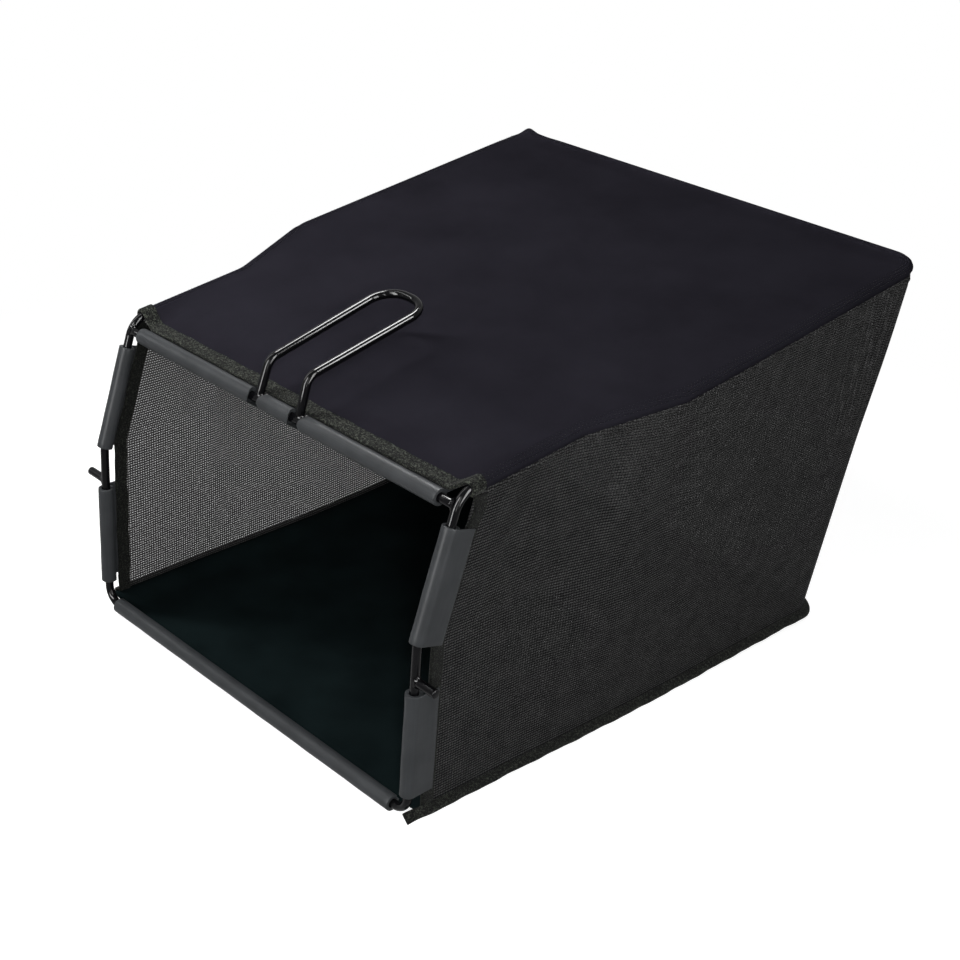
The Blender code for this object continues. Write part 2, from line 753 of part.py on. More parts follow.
def build_floor(collection, fabric, tape):
    line = spaced(floor_seam(CHANNEL_RADIUS), FLOOR_RUN)
    normals = outward_normals(line + mirrored(line)[::-1])
    left_edge = [point + normal * FLANGE_REACH for point, normal in zip(line, normals)]
    rows = []
    for left, right in zip(left_edge, mirrored(left_edge)):
        row = [left.lerp(right, column / FLOOR_COLUMNS) for column in range(FLOOR_COLUMNS + 1)]
        rows.append(at_height(row, FLOOR_HEIGHT))
    panel("bottom_panel", rows, collection, fabric, turned=False)
    line = spaced(floor_outline(BINDING_START), BINDING_RUN)
    section = fold_section(FLANGE, FABRIC + GAP, 0, BINDING_HEIGHT, BINDING)
    sections = [[point + normal * out + Vector((0, 0, up)) for out, up in section]
                for point, normal in zip(line, outward_normals(line))]
    swept("bottom_binding", sections, collection, tape, turned=True)


def main():
    clear_scene()
    collection = make_collection(COLLECTION)
    cutters = make_collection("cutters")
    steel = make_material("black_powder_coat", (0.012, 0.012, 0.013), 0.18)
    plastic = make_material("dark_grey_plastic", (0.045, 0.047, 0.05), 0.45)
    lid_fabric = make_material("coated_lid_fabric", (0.018, 0.018, 0.024), 0.75)
    wall_fabric = make_material("woven_wall_fabric", (0.014, 0.014, 0.015), 0.8)
    tape = make_material("woven_tape", (0.012, 0.013, 0.011), 0.9)
    build_wires(collection, steel)
    build_channels(collection, cutters, plastic)
    build_lid(collection, lid_fabric)
    build_lid_hem(collection, tape)
    build_mouth_hems(collection, tape)
    build_walls(collection, wall_fabric)
    build_floor(collection, wall_fabric, tape)


main()
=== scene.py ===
"""Finish of a grass collection bag: wires, channels, cloth, tapes, stitches, light and camera.

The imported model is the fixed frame. Every piece here is a surface worked out over it, and takes the
place of the node that it covers. Lengths are in metres. X runs across the mouth, Y from the mouth to
the rear and Z upwards. A depth is measured back from the mouth, and a rise up from the centre line
of the bottom bar.
"""
import math

import bmesh
import bpy
import numpy as np
from bpy.props import FloatProperty, FloatVectorProperty, PointerProperty
from mathutils import Matrix, Vector


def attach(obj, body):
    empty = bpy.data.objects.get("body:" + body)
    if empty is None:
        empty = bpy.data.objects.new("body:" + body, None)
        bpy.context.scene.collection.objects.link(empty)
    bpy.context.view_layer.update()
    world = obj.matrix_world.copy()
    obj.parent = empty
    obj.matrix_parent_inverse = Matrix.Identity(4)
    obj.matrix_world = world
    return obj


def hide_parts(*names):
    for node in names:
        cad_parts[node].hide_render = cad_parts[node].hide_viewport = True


bl_info = {
    "name": "Grass Collection Bag",
    "version": (1, 0, 0),
    "blender": (4, 5, 0),
    "location": "3D View > Sidebar > Grass Bag",
    "description": "Dresses the wire frame, channels, cloth and tapes of a grass collection bag",
    "category": "Object",
}

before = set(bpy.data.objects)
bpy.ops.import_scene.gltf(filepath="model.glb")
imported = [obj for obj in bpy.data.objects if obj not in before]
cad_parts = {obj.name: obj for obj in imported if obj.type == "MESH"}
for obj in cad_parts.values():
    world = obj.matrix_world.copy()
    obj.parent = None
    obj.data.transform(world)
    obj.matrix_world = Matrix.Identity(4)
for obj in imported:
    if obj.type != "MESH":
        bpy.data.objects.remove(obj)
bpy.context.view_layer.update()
BODY = "root"

# Wire frame, as it was bent
WIRE_RADIUS = 0.0035
WIRE_SIDES = 24
MOUTH_HALF = 0.192
KINK_RISE = 0.146
TOP_RISE = 0.2545
TOP_DEPTH = 0.032
STEP_START_DEPTH = 0.148
STEP_START_RISE = 0.271
STEP_START_HALF = 0.195
STEP_END_DEPTH = 0.232
STEP_END_RISE = 0.286
STEP_END_HALF = 0.223
BAG_DEPTH = 0.526
REAR_RISE = 0.330
REAR_HALF = 0.228
REAR_BEND = 0.022
BEND_STEPS = 24
FRAME_BENDS = [0.014, 0.030, 0.022, 0.040, 0.060, REAR_BEND]
CROSS_ROD_DROP = 0.0095

# Lifting handle and hanging pegs
HANDLE_HALF = 0.024
HANDLE_KNEE_RISE = 0.2795
HANDLE_KNEE_DEPTH = 0.0365
HANDLE_END_RISE = 0.307
HANDLE_END_DEPTH = 0.158
HANDLE_KNEE_BEND = 0.012
HANDLE_END_BEND = 0.021
KNEE_SLUMP = {-1: 0.004, 1: 0.001}
PEG_RISE = 0.1165
PEG_REACH = 0.022

# Push-on channels
CHANNEL_RADIUS = 0.0065
CHANNEL_TAIL = 0.019
TAIL_THICKNESS = 0.0013
TOP_TAIL_TOP = 0.003
SLOT_FROM = math.radians(-50)
SLOT_TO = math.radians(-10)
LOWER_CHANNEL_START = 0.0175
LOWER_CHANNEL_LENGTH = 0.0885
UPPER_CHANNEL_START = 0.001
UPPER_CHANNEL_LENGTH = 0.088
BOTTOM_CHANNEL_INSET = 0.015
TOP_CHANNEL_INSET = 0.016
NOTCH_RADIUS = 0.0085
NOTCH_FLOOR = -0.0052
NOTCH_LENGTH = 0.03
LEFT_CHANNEL_SLIP = 0.002

# Cloth, tapes and seams
GAP = 0.0003
CAD_FABRIC = 0.0010
HEM_TAPE = 0.0008
BINDING = 0.0015
SLEEVE_START = 0.040
LID_RAMP = 0.020
HEM_SETBACK = 0.0112
HEM_WIDTH = 0.011
LID_HEM_WIDTH = 0.012
HEM_FOOT = 0.0065
HEM_HEAD = 0.013
FLOOR_DEPTH = 0.487
FLOOR_REAR_HALF = 0.212
FLOOR_BEND = 0.022
FLANGE = 0.0075
SEAM_TILT = 0.0016
LEFT_BINDING_START = 0.012
RIGHT_BINDING_START = -0.0043
LOOSE_LENGTH = 0.016
LOOSE_FOOT = 0.0020
LOOSE_TILT = 0.0066
LOOSE_FLATNESS = 0.16
LOOSE_SHIFT = 0.0035
LEFT_TAPE_REACH = 0.009
RIGHT_TAPE_RETREAT = 0.004
TAPE_LIFT = 0.0001
SIDE_ROWS = [0.0032, 0.0008]
SLEEVE_ROWS = [0.0022, 0.0046]
SEWN_STRETCH = slice(6, -20)
ROW_WIDTH = 0.0006
LID_TAPE_ROW = 0.0085
MOUTH_TAPE_ROW = 0.0075
BINDING_ROW = 0.0022
TAIL_ROW = 0.0022
PUCKER_PITCH = 0.0062
NUB_INSETS = (0.0095, 0.0065)
NUB_WIDTH = 0.0068
NUB_WAY = np.array([-0.45, 0.45, 0.77])

# Values that follow from the ones above
SLEEVE_RADIUS = WIRE_RADIUS + GAP + CAD_FABRIC / 2
PANEL_OFFSET = SLEEVE_RADIUS - CAD_FABRIC - 2 * GAP
HEAD_DROP = WIRE_RADIUS + GAP + CAD_FABRIC / 2
MIDDLE_DEPTH = (BAG_DEPTH + SLEEVE_RADIUS + CAD_FABRIC / 2 - CHANNEL_RADIUS) / 2
FLOOR_HEIGHT = BINDING + GAP + CAD_FABRIC / 2
FLANGE_HEIGHT = FLOOR_HEIGHT + CAD_FABRIC + GAP
BINDING_HEIGHT = FLANGE_HEIGHT + CAD_FABRIC / 2 + GAP + BINDING
PANEL_FRONT = HEM_SETBACK + HEM_TAPE + GAP
FLANGE_REACH = FLANGE - BINDING - GAP
SLANT = np.array([1.0, 1.0, 1.0])

# Camera and lamps
CAMERA_PLACE = (0.8684, -0.93425, 0.7679)
CAMERA_DEGREES = (-43.12, 26.92, 4.53)
BAG_MIDDLE = (0, -0.05, 0.15)
HANDLE_MIDDLE = (0, -0.17, 0.31)
LAMPS = [
    # name, its power's property and share, size, place, aim, whether it lights cloth
    ("stage_key", "key", 1.0, (0.10, 0.9), (-0.55, -0.45, 0.85), BAG_MIDDLE, True),
    ("stage_front_left", "front", 0.5, (0.04, 1.4), (-0.95, -1.35, 0.72), BAG_MIDDLE, True),
    ("stage_front", "front", 0.5, (0.04, 1.4), (0.25, -1.65, 0.72), BAG_MIDDLE, True),
    ("stage_side", "side", 1.0, (0.12, 1.0), (1.05, -1.05, 0.75), BAG_MIDDLE, True),
    ("stage_rear", "rear", 1.0, (1.2, 0.15), (0.3, 1.5, 1.5), BAG_MIDDLE, True),
    ("stage_gloss_left", "gloss", 1.0, (0.6, 1.7), (0.02, -1.70, 0.85), BAG_MIDDLE, False),
    ("stage_gloss_back", "gloss", 0.5, (0.6, 0.6), (-0.54, 0.34, 1.6), HANDLE_MIDDLE, False),
    ("stage_gloss_far", "gloss", 0.3, (0.3, 0.6), (1.04, 0.43, 1.2), HANDLE_MIDDLE, False),
    ("stage_gloss_right", "gloss", 1.0, (0.7, 1.6), (1.70, -0.10, 0.9), BAG_MIDDLE, False),
]


def unit(vectors):
    """Each vector divided by its length."""
    return vectors / np.linalg.norm(vectors, axis=-1, keepdims=True)


def smooth_step(values):
    """3 t squared less 2 t cubed, of each value held between 0 and 1."""
    values = np.clip(values, 0, 1)
    return values * values * (3 - 2 * values)


def bump(values):
    """A bell: e to the power of minus the square of each value."""
    return np.exp(-values * values)


def place(x, depth, rise):
    """Points of the part, from their distance across, back from the mouth and up from the bar."""
    return np.stack(np.broadcast_arrays(x, depth - MIDDLE_DEPTH, rise + CHANNEL_RADIUS), -1).astype(float)


def mirrored(points):
    """The points with X turned round: the bag's other side."""
    return points * (-1, 1, 1)


def rounded_path(corners, bends, steps=16):
    """Straight runs with an arc at each corner: its centre, plus the bend's radius along the first
    spoke times the cosine and along the way of travel times the sine of each angle."""
    stretches = []
    for index, corner in enumerate(corners):
        if not bends[index]:
            stretches.append(corner[None])
            continue
        back = unit(corners[index - 1] - corner)
        ahead = unit(corners[(index + 1) % len(corners)] - corner)
        half = math.acos(back @ ahead) / 2
        centre = corner + unit(back + ahead) * bends[index] / math.sin(half)
        spoke = unit(corner + back * bends[index] / math.tan(half) - centre)
        angles = np.linspace(0, math.pi - 2 * half, steps + 1)[:, None]
        stretches.append(centre + bends[index] * (np.cos(angles) * spoke - np.sin(angles) * back))
    return np.concatenate(stretches)


def travelled(path):
    """Length of the path up to each of its points."""
    return np.concatenate([[0], np.cumsum(np.linalg.norm(np.diff(path, axis=0), axis=1))])


def at_distance(path, distances, values=None):
    """The path's points, or the values given at them, read at distances along it."""
    along = travelled(path)
    values = path if values is None else values
    return np.stack([np.interp(distances, along, values[:, axis]) for axis in range(3)], -1)


def resampled(path, count):
    """The path as a given number of evenly spaced points."""
    return at_distance(path, np.linspace(0, travelled(path)[-1], count))


def tangents(path, closed=False):
    """Way of travel at each point: from the point before to the point after."""
    if closed:
        return unit(np.roll(path, -1, 0) - np.roll(path, 1, 0))
    ends = np.concatenate([path[:1], path, path[-1:]])
    return unit(ends[2:] - ends[:-2])


def level_normals(line):
    """Level normals of a line round the bag from the left front, on its outer side."""
    way = tangents(line)
    return unit(np.stack([-way[:, 1], way[:, 0], np.zeros(len(line))], -1))


def grid(rows, columns, wrapped=False):
    """Quads of a grid numbered row by row, with each corner's row and column. The last column of a
    wrapped grid meets its first."""
    row, column = np.meshgrid(np.arange(rows - 1), np.arange(columns if wrapped else columns - 1),
                              indexing="ij")
    corner_row = np.stack([row, row, row + 1, row + 1], -1).reshape(-1, 4)
    corner_column = np.stack([column, column + 1, column + 1, column], -1).reshape(-1, 4)
    return corner_row * columns + corner_column % columns, corner_row, corner_column


def make_piece(name, points, quads, material, node=None, corner_uv=None, caps=(), facing=None,
               sharp=40):
    """A mesh of the points and faces that rides on the body. A closed mesh is turned outwards, and
    an open one so that most of it faces the given way."""
    mesh = bpy.data.meshes.new(name)
    if facing is not None:
        corners = points[quads]
        normals = np.cross(corners[:, 2] - corners[:, 0], corners[:, 3] - corners[:, 1])
        if (normals @ np.array(facing, float)).sum() < 0:
            quads = quads[:, ::-1]
            corner_uv = None if corner_uv is None else corner_uv[:, ::-1]
    mesh.from_pydata(points.tolist(), [], quads.tolist() + [list(cap) for cap in caps])
    if corner_uv is not None:
        layer = mesh.uv_layers.new(name="UVMap")
        values = np.zeros((len(mesh.loops), 2))
        values[:corner_uv.size // 2] = corner_uv.reshape(-1, 2)
        layer.data.foreach_set("uv", values.ravel())
    if facing is None:
        turned = bmesh.new()
        turned.from_mesh(mesh)
        bmesh.ops.recalc_face_normals(turned, faces=turned.faces)
        turned.to_mesh(mesh)
        turned.free()
    mesh.shade_smooth()
    mesh.set_sharp_from_angle(angle=math.radians(sharp))
    mesh.materials.append(material)
    piece = bpy.data.objects.new(name, mesh)
    bpy.context.scene.collection.objects.link(piece)
    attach(piece, BODY)
    if node:
        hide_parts(node)
    return piece


def swept(name, sections, material, node=None, closed=False):
    """A closed surface through like sections in order, with flat ends unless it is a loop."""
    stations, count = sections.shape[:2]
    along = travelled(sections.mean(1))
    around = travelled(np.concatenate([sections[0], sections[0][:1]]))
    caps = [range(count), range((stations - 1) * count, stations * count)]
    if closed:
        sections = np.concatenate([sections, sections[:1]])
        along = np.append(along, along[-1] + np.linalg.norm(sections[-1] - sections[-2], axis=-1).mean())
        caps = []
    quads, row, column = grid(len(sections), count, wrapped=True)
    uv = np.stack([along[row], around[column]], -1)
    return make_piece(name, sections[:stations].reshape(-1, 3), quads % (stations * count), material,
                      node, uv, caps)


def circles(path, radii, closed=False):
    """Sections of a tube: each point plus its radius times the cosine along one normal of the path
    and times the sine along the other."""
    way = tangents(path, closed)
    across = unit(np.cross(way, SLANT))
    upward = np.cross(way, across)
    angles = np.linspace(0, 2 * math.pi, WIRE_SIDES, endpoint=False)[None, :, None]
    ring = np.cos(angles) * across[:, None] + np.sin(angles) * upward[:, None]
    return path[:, None] + ring * np.broadcast_to(radii, len(path))[:, None, None]


def rimmed(length, rim, middle):
    """Distances along a piece, with a few more at its ends, and how far its section steps in at
    each: by the quarter circle of the rim at both ends, and by nothing in between."""
    angles = np.linspace(0, math.pi / 2, 4)
    steps = rim * (1 - np.cos(angles))
    inset = rim * (1 - np.sin(angles))
    return (np.concatenate([steps, middle, length - steps[::-1]]),
            np.concatenate([inset, middle * 0, inset[::-1]]))


def rod(name, path, material, node, rim):
    """A wire with rounded end rims."""
    along = travelled(path)
    inner = along[(along > rim * 1.01) & (along < along[-1] - rim * 1.01)]
    distances, inset = rimmed(along[-1], rim, inner)
    sections = circles(at_distance(path, distances), WIRE_RADIUS - inset)
    return swept(name, sections, material, node)


def weld_bead(foot, rod_way, wire_way, size, ripples=9, around=36, steps=7):
    """The fillet of a weld where a rod stands on a wire. Its points lie on rays round the rod, from
    the rod's side, a bead's width up it, down a hollow quarter curve to the wire's own surface."""
    angles = np.linspace(0, 2 * math.pi, around, endpoint=False)[:, None]
    share = np.linspace(0, 1, steps)[None]
    cross_way = np.cross(rod_way, wire_way)
    ripple = 1 + 0.12 * np.sin(ripples * angles)
    spread = WIRE_RADIUS * 1.02 + size * (1 - np.cos(share * math.pi / 2)) * ripple
    limit = 0.97 * WIRE_RADIUS / np.maximum(np.abs(np.sin(angles)), 0.05)
    spread = np.minimum(spread, limit)
    seat = np.sqrt(np.maximum(WIRE_RADIUS ** 2 - (spread * np.sin(angles)) ** 2, 0))
    height = seat + size * (1 - np.sin(share * math.pi / 2)) + 0.0002
    ring = np.cos(angles)[..., None] * wire_way + np.sin(angles)[..., None] * cross_way
    return foot + ring * spread[..., None] + rod_way * height[..., None]


def frame_corners(side):
    """Corners of one half of the frame's wire, from the bottom bar to the rear bar."""
    return np.array([
        place(side * MOUTH_HALF, 0, 0),
        place(side * MOUTH_HALF, 0, KINK_RISE),
        place(side * MOUTH_HALF, TOP_DEPTH, TOP_RISE),
        place(side * STEP_START_HALF, STEP_START_DEPTH, STEP_START_RISE),
        place(side * STEP_END_HALF, STEP_END_DEPTH, STEP_END_RISE),
        place(side * REAR_HALF, BAG_DEPTH, REAR_RISE),
    ])


def cross_rod_centre():
    """Depth and rise where the cross rod meets the upright, a little below the top corner."""
    lean = unit(np.array([TOP_DEPTH, TOP_RISE - KINK_RISE]))
    return TOP_DEPTH - lean[0] * CROSS_ROD_DROP, TOP_RISE - lean[1] * CROSS_ROD_DROP


def handle_leg(side):
    """Seat of a leg on the cross rod's centre line, its foot just clear of the rod, and its knee."""
    depth, rise = cross_rod_centre()
    seat = place(side * HANDLE_HALF, depth, rise)
    slump = KNEE_SLUMP[side]
    knee = place(side * HANDLE_HALF, HANDLE_KNEE_DEPTH + slump * 0.75, HANDLE_KNEE_RISE - slump)
    return seat, seat + unit(knee - seat) * (WIRE_RADIUS + GAP), knee


def handle_path():
    """The handle's wire: over one knee, back, round the end and over the other knee."""
    left, right = handle_leg(-1), handle_leg(1)
    ends = [place(side * HANDLE_HALF, HANDLE_END_DEPTH, HANDLE_END_RISE) for side in (-1, 1)]
    corners = np.array([left[1], left[2], ends[0], ends[1], right[2], right[1]])
    bends = [0, HANDLE_KNEE_BEND, HANDLE_END_BEND, HANDLE_END_BEND, HANDLE_KNEE_BEND, 0]
    return rounded_path(corners, bends)


def arc(radius, start, end, steps):
    """Radius times the cosine and the sine of evenly spaced angles."""
    angles = np.linspace(start, end, steps + 1)
    return radius * np.stack([np.cos(angles), np.sin(angles)], -1)


def channel_outline(tail_outer):
    """P section: a ring slit to snap on the wire, with a flat tail whose end is rounded."""
    inner = WIRE_RADIUS + GAP
    tail_inner = tail_outer - TAIL_THICKNESS
    half = TAIL_THICKNESS / 2
    tip = arc(half, -math.pi / 2, math.pi / 2, 4) + (CHANNEL_TAIL - half, tail_outer - half)
    outer = arc(CHANNEL_RADIUS, math.asin(min(tail_outer / CHANNEL_RADIUS, 1)), SLOT_FROM + 2 * math.pi, 40)
    hollow = arc(inner, SLOT_FROM + 2 * math.pi, SLOT_TO, 32)
    lip = arc(CHANNEL_RADIUS, SLOT_TO, math.asin(tail_inner / CHANNEL_RADIUS), 8)
    flat = np.linspace(0.25, 0.75, 3)[:, None]
    top = tip[-1] + flat * (outer[0] - tip[-1])
    return np.concatenate([tip, top, outer, hollow, lip])


def channel_sections(start, end, tail_way, outward, tail_outer, rim, wave):
    """The P section carried from start to end. Near both ends it steps inwards by a quarter circle,
    and between them it swells and sways by sums of slow sines."""
    outline = channel_outline(tail_outer)
    edge = np.roll(outline, -1, 0) - np.roll(outline, 1, 0)
    inward = unit(np.stack([-edge[:, 1], edge[:, 0]], -1))
    length = np.linalg.norm(end - start)
    stations, inset = rimmed(length, rim, np.linspace(rim, length - rim, max(8, int(length / 0.004)))[1:-1])
    phase = start.sum() * 40
    swell = wave * (np.sin(stations * 95 + phase) + 0.7 * np.sin(stations * 211 + 2 * phase)) * 0.4
    shape = outline[None] + inward[None] * (inset - swell)[:, None, None]
    along = unit(end - start)
    return (start + along * stations[:, None])[:, None] + shape[..., :1] * tail_way + shape[..., 1:] * outward


def channel_places():
    """Name, node, start, end, way of the tail, outer side and height of the tail of each channel."""
    back, up = np.array([0, 1.0, 0]), np.array([0, 0, 1.0])
    reach = MOUTH_HALF - BOTTOM_CHANNEL_INSET
    ends = [place(side * reach, 0, 0) for side in (-1, 1)]
    places = [("bottom", "bottom_channel", *ends, back, -up, CHANNEL_RADIUS)]
    for side, word in ((-1, "left"), (1, "right")):
        outward = np.array([side, 0.0, 0.0])
        kink, head = frame_corners(side)[1:3]
        lean = unit(head - kink)
        slip = LEFT_CHANNEL_SLIP if side < 0 else 0.0
        foot = place(side * MOUTH_HALF, 0, LOWER_CHANNEL_START + slip)
        head_end = foot + up * (LOWER_CHANNEL_LENGTH + slip / 2)
        places.append((word + "_lower", word + "_lower_channel", foot, head_end, back, outward,
                       CHANNEL_RADIUS))
        foot = kink + lean * UPPER_CHANNEL_START
        places.append((word + "_upper", word + "_upper_channel", foot, foot + lean * UPPER_CHANNEL_LENGTH,
                       np.array([0, lean[2], -lean[1]]), outward, CHANNEL_RADIUS))
    reach = MOUTH_HALF - TOP_CHANNEL_INSET
    depth, rise = cross_rod_centre()
    ends = [place(side * reach, depth, rise) for side in (-1, 1)]
    places.append(("top", "top_channel", *ends, back, up, TOP_TAIL_TOP))
    return places


def half_frame(side):
    """Centre line of half the frame, from the bottom bar round the rear bend."""
    far = place(-side * REAR_HALF, BAG_DEPTH, REAR_RISE)
    return rounded_path(np.concatenate([frame_corners(side), [far]]), FRAME_BENDS + [0], BEND_STEPS)


def side_wire(depth):
    """Left wire on its first straight run behind the top bend, at a depth."""
    share = (depth - TOP_DEPTH) / (STEP_START_DEPTH - TOP_DEPTH)
    half = MOUTH_HALF + share * (STEP_START_HALF - MOUTH_HALF)
    return place(-half, depth, TOP_RISE + share * (STEP_START_RISE - TOP_RISE))


def wire_from(depth):
    """Left wire from a depth on its first straight run to the end of the rear bend."""
    path = half_frame(-1)[:-1]
    start = side_wire(depth)
    return np.concatenate([[start], path[path[:, 1] > start[1] + WIRE_RADIUS]])


def lid_edge():
    """Rows of the lid: points of the left wire, close together in the front and the rear bend."""
    path = wire_from(SLEEVE_START)
    along = travelled(path)
    bend = along[-1 - BEND_STEPS:]
    return at_distance(path, np.concatenate([np.linspace(0, bend[0], 190)[:-1], bend]))


def lid_columns():
    """Shares of the way across: stitch rows near both wires are close together, the rest even."""
    near = np.linspace(0, 0.0049, 15) / (2 * MOUTH_HALF)
    return np.concatenate([near, np.linspace(near[-1], 1 - near[-1], 70)[1:-1], 1 - near[::-1]])


def lid_front():
    """Depth and rise of the lid's front edge along the top channel."""
    depth, rise = cross_rod_centre()
    return (depth + CHANNEL_RADIUS + HEM_TAPE + GAP,
            rise + TOP_TAIL_TOP + 2 * GAP + HEM_TAPE + CAD_FABRIC / 2)


def wire_distance(points):
    """Level distance inwards from the side wires and the rear bar, rounded in their bends."""
    path = frame_corners(-1)
    side = np.interp(points[..., 1], path[2:, 1], -path[2:, 0]) - np.abs(points[..., 0])
    rear = BAG_DEPTH - MIDDLE_DEPTH - points[..., 1]
    corner = REAR_BEND - np.hypot(REAR_BEND - side, REAR_BEND - rear)
    return np.where((side < REAR_BEND) & (rear < REAR_BEND), corner, np.minimum(side, rear))


def lid_surface(look):
    """Top of the lid: the wire's height plus the sleeve, less the sag, the step down to the top
    channel, the pinch inside the wire and the stitch rows, plus slow waves."""
    left = lid_edge()
    across = lid_columns()[None] * 2 - 1
    x = -left[:, :1] * across
    y = np.broadcast_to(left[:, 1:2], x.shape)
    channel_depth, channel_rise = lid_front()
    length = left[-1, 1] - left[0, 1]
    share = (y - left[0, 1]) / length
    drop = left[0, 2] + SLEEVE_RADIUS - (channel_rise + CHANNEL_RADIUS)
    shift = SLEEVE_START - channel_depth
    near_front = 1 - smooth_step((y - left[0, 1]) / 0.09)
    inner = smooth_step((-left[:, :1] - np.abs(x)) / LID_RAMP)
    distance = wire_distance(np.stack([x, y, y], -1))
    free = smooth_step(distance / 0.05) * smooth_step((y - left[0, 1]) / 0.06)
    sag = look.sag * np.sin(math.pi * share) * (1 - across ** 2)
    waves = look.waves * free * (np.sin(x * 31 + y * 17 + 0.6) * np.sin(y * 24 - x * 9)
                                 + 0.5 * np.sin(x * 67 - y * 41) * np.sin(y * 53 + 1.3))
    hollow = smooth_step((distance - 0.002) / 0.005) * (1 - smooth_step((distance - 0.010) / 0.018))
    rows = sum(bump((distance - row) / ROW_WIDTH) for row in SIDE_ROWS)
    grooves = look.groove * rows * smooth_step((y - left[0, 1]) / 0.01)
    z = left[:, 2:3] + SLEEVE_RADIUS - sag - drop * inner * near_front + waves - look.pinch * hollow - grooves
    return np.stack([x, y - shift * inner * near_front, z], -1)


def sleeve_profile(groove=0.0, steps=30):
    """Outward and upward steps of the lid's sleeve from the top of the wire: three tenths of a turn
    round the wire, less a bell at each stitch row, then in to the crease where the wall is sewn on."""
    angles = np.linspace(0, math.radians(112), steps + 1)[1:]
    rows = sum(bump((angles * SLEEVE_RADIUS - row) / ROW_WIDTH) for row in SLEEVE_ROWS)
    radii = SLEEVE_RADIUS - groove * rows
    turn = np.stack([np.sin(angles) * radii, np.cos(angles) * radii - SLEEVE_RADIUS], -1)
    crease = np.array([[0.0034, -0.0070], [0.0029, -0.0080], [0.0025, -0.0090]])
    return np.concatenate([turn, crease])


def lid_mesh(look):
    """The lid's grid with its sleeve: rings outwards from the grid's side and rear borders."""
    top = lid_surface(look)
    rows, columns = top.shape[:2]
    quads = grid(rows, columns)[0]
    rim = np.concatenate([np.arange(rows) * columns,
                          (rows - 1) * columns + np.arange(1, columns),
                          np.arange(rows - 2, -1, -1) * columns + columns - 1])
    border = top.reshape(-1, 3)[rim]
    normals = level_normals(border)
    profile = sleeve_profile(look.groove)
    rings = border + profile[:, None, :1] * normals + profile[:, None, 1:] * (0, 0, 1)
    along = travelled(border)
    pucker = look.pucker * np.sin(along * 2 * math.pi / PUCKER_PITCH + 0.8 * np.sin(along * 90))
    depth_share = smooth_step((-profile[:, 1] - 0.004) / 0.004)
    rings += (depth_share[:, None] * pucker)[..., None] * normals
    added = top.size // 3 + np.arange(len(profile) * len(rim)).reshape(len(profile), -1)
    numbers = np.concatenate([[rim], added])
    strips = np.stack([numbers[:-1, :-1], numbers[:-1, 1:], numbers[1:, 1:], numbers[1:, :-1]], -1)
    points = np.concatenate([top.reshape(-1, 3), rings.reshape(-1, 3)])
    out = travelled(np.pad(profile, ((1, 0), (0, 1))))[1:, None, None]
    uv = np.concatenate([top[..., :2].reshape(-1, 2), (border[:, :2] + out * normals[:, :2]).reshape(-1, 2)])
    return points, np.concatenate([quads, strips.reshape(-1, 4)]), uv, top


def thickened(piece, thickness):
    """Cloth of the given thickness, half of it on each side of the surface."""
    shell = piece.modifiers.new("thickness", "SOLIDIFY")
    shell.thickness = thickness
    shell.offset = 0
    shell.use_even_offset = True


def left_upright():
    """Left upright's line from the bottom bar over its kink to the top corner."""
    return rounded_path(frame_corners(-1)[:3], [0, FRAME_BENDS[1], 0])


def upright_line(foot, head, count):
    """Left panel's front edge: the upright's line set back square to itself."""
    line = left_upright()
    way = tangents(line)
    way[-1] = unit(line[-1] - line[-2])
    line = line + np.stack([way[:, 0] * 0, way[:, 2], -way[:, 1]], -1) * PANEL_FRONT
    line[0, 2] = foot
    line[-1] += way[-1] * (head - line[-1, 2]) / way[-1, 2]
    return resampled(line, count)


def floor_line(start_depth):
    """Left half of the floor seam: a straight side, then the rear bend, then half the rear."""
    front_half = MOUTH_HALF + PANEL_OFFSET
    half = front_half + (FLOOR_REAR_HALF - front_half) * start_depth / FLOOR_DEPTH
    corners = np.array([
        [-half, start_depth - MIDDLE_DEPTH, 0],
        [-FLOOR_REAR_HALF, FLOOR_DEPTH - MIDDLE_DEPTH, 0],
        [0, FLOOR_DEPTH - MIDDLE_DEPTH, 0],
    ])
    return rounded_path(corners, [0, FLOOR_BEND, 0], BEND_STEPS)


def seam_lift(points):
    """Height that the sewn cloth lifts the floor seam to: by depth along the sides, as measured in
    the photo, and level across the rear."""
    depth = points[..., 1] + MIDDLE_DEPTH
    return np.interp(depth, [0, 0.04, 0.10, 0.16, 0.24, 0.30, 0.36, 0.44, FLOOR_DEPTH],
                     [0.0034, 0.0026, 0.0026, 0.0012, 0.0003, 0.0012, 0.0032, 0.0050, 0.0050])


def wall_lines(count, rear_count):
    """Wire and floor seam right round the walls, station by station, and the corners' places."""
    head = side_wire_depth()
    wire = wire_from(head)
    foot = floor_line(PANEL_FRONT)[:-1]
    lines = []
    for line in (wire, foot):
        run, bend = line[:-BEND_STEPS], line[-1 - BEND_STEPS:]
        left = np.concatenate([resampled(run, count)[:-1], bend])
        rear = bend[-1] + (mirrored(bend[-1]) - bend[-1]) * np.linspace(0, 1, rear_count)[1:-1, None]
        lines.append(np.concatenate([left, rear, mirrored(left)[::-1]]))
    return lines[0], lines[1], count - 1 + BEND_STEPS // 2


def side_wire_depth():
    """Depth where the panel's front edge meets the lid."""
    line = left_upright()
    way = unit(line[-1] - line[-2])
    return TOP_DEPTH + PANEL_FRONT / way[2]


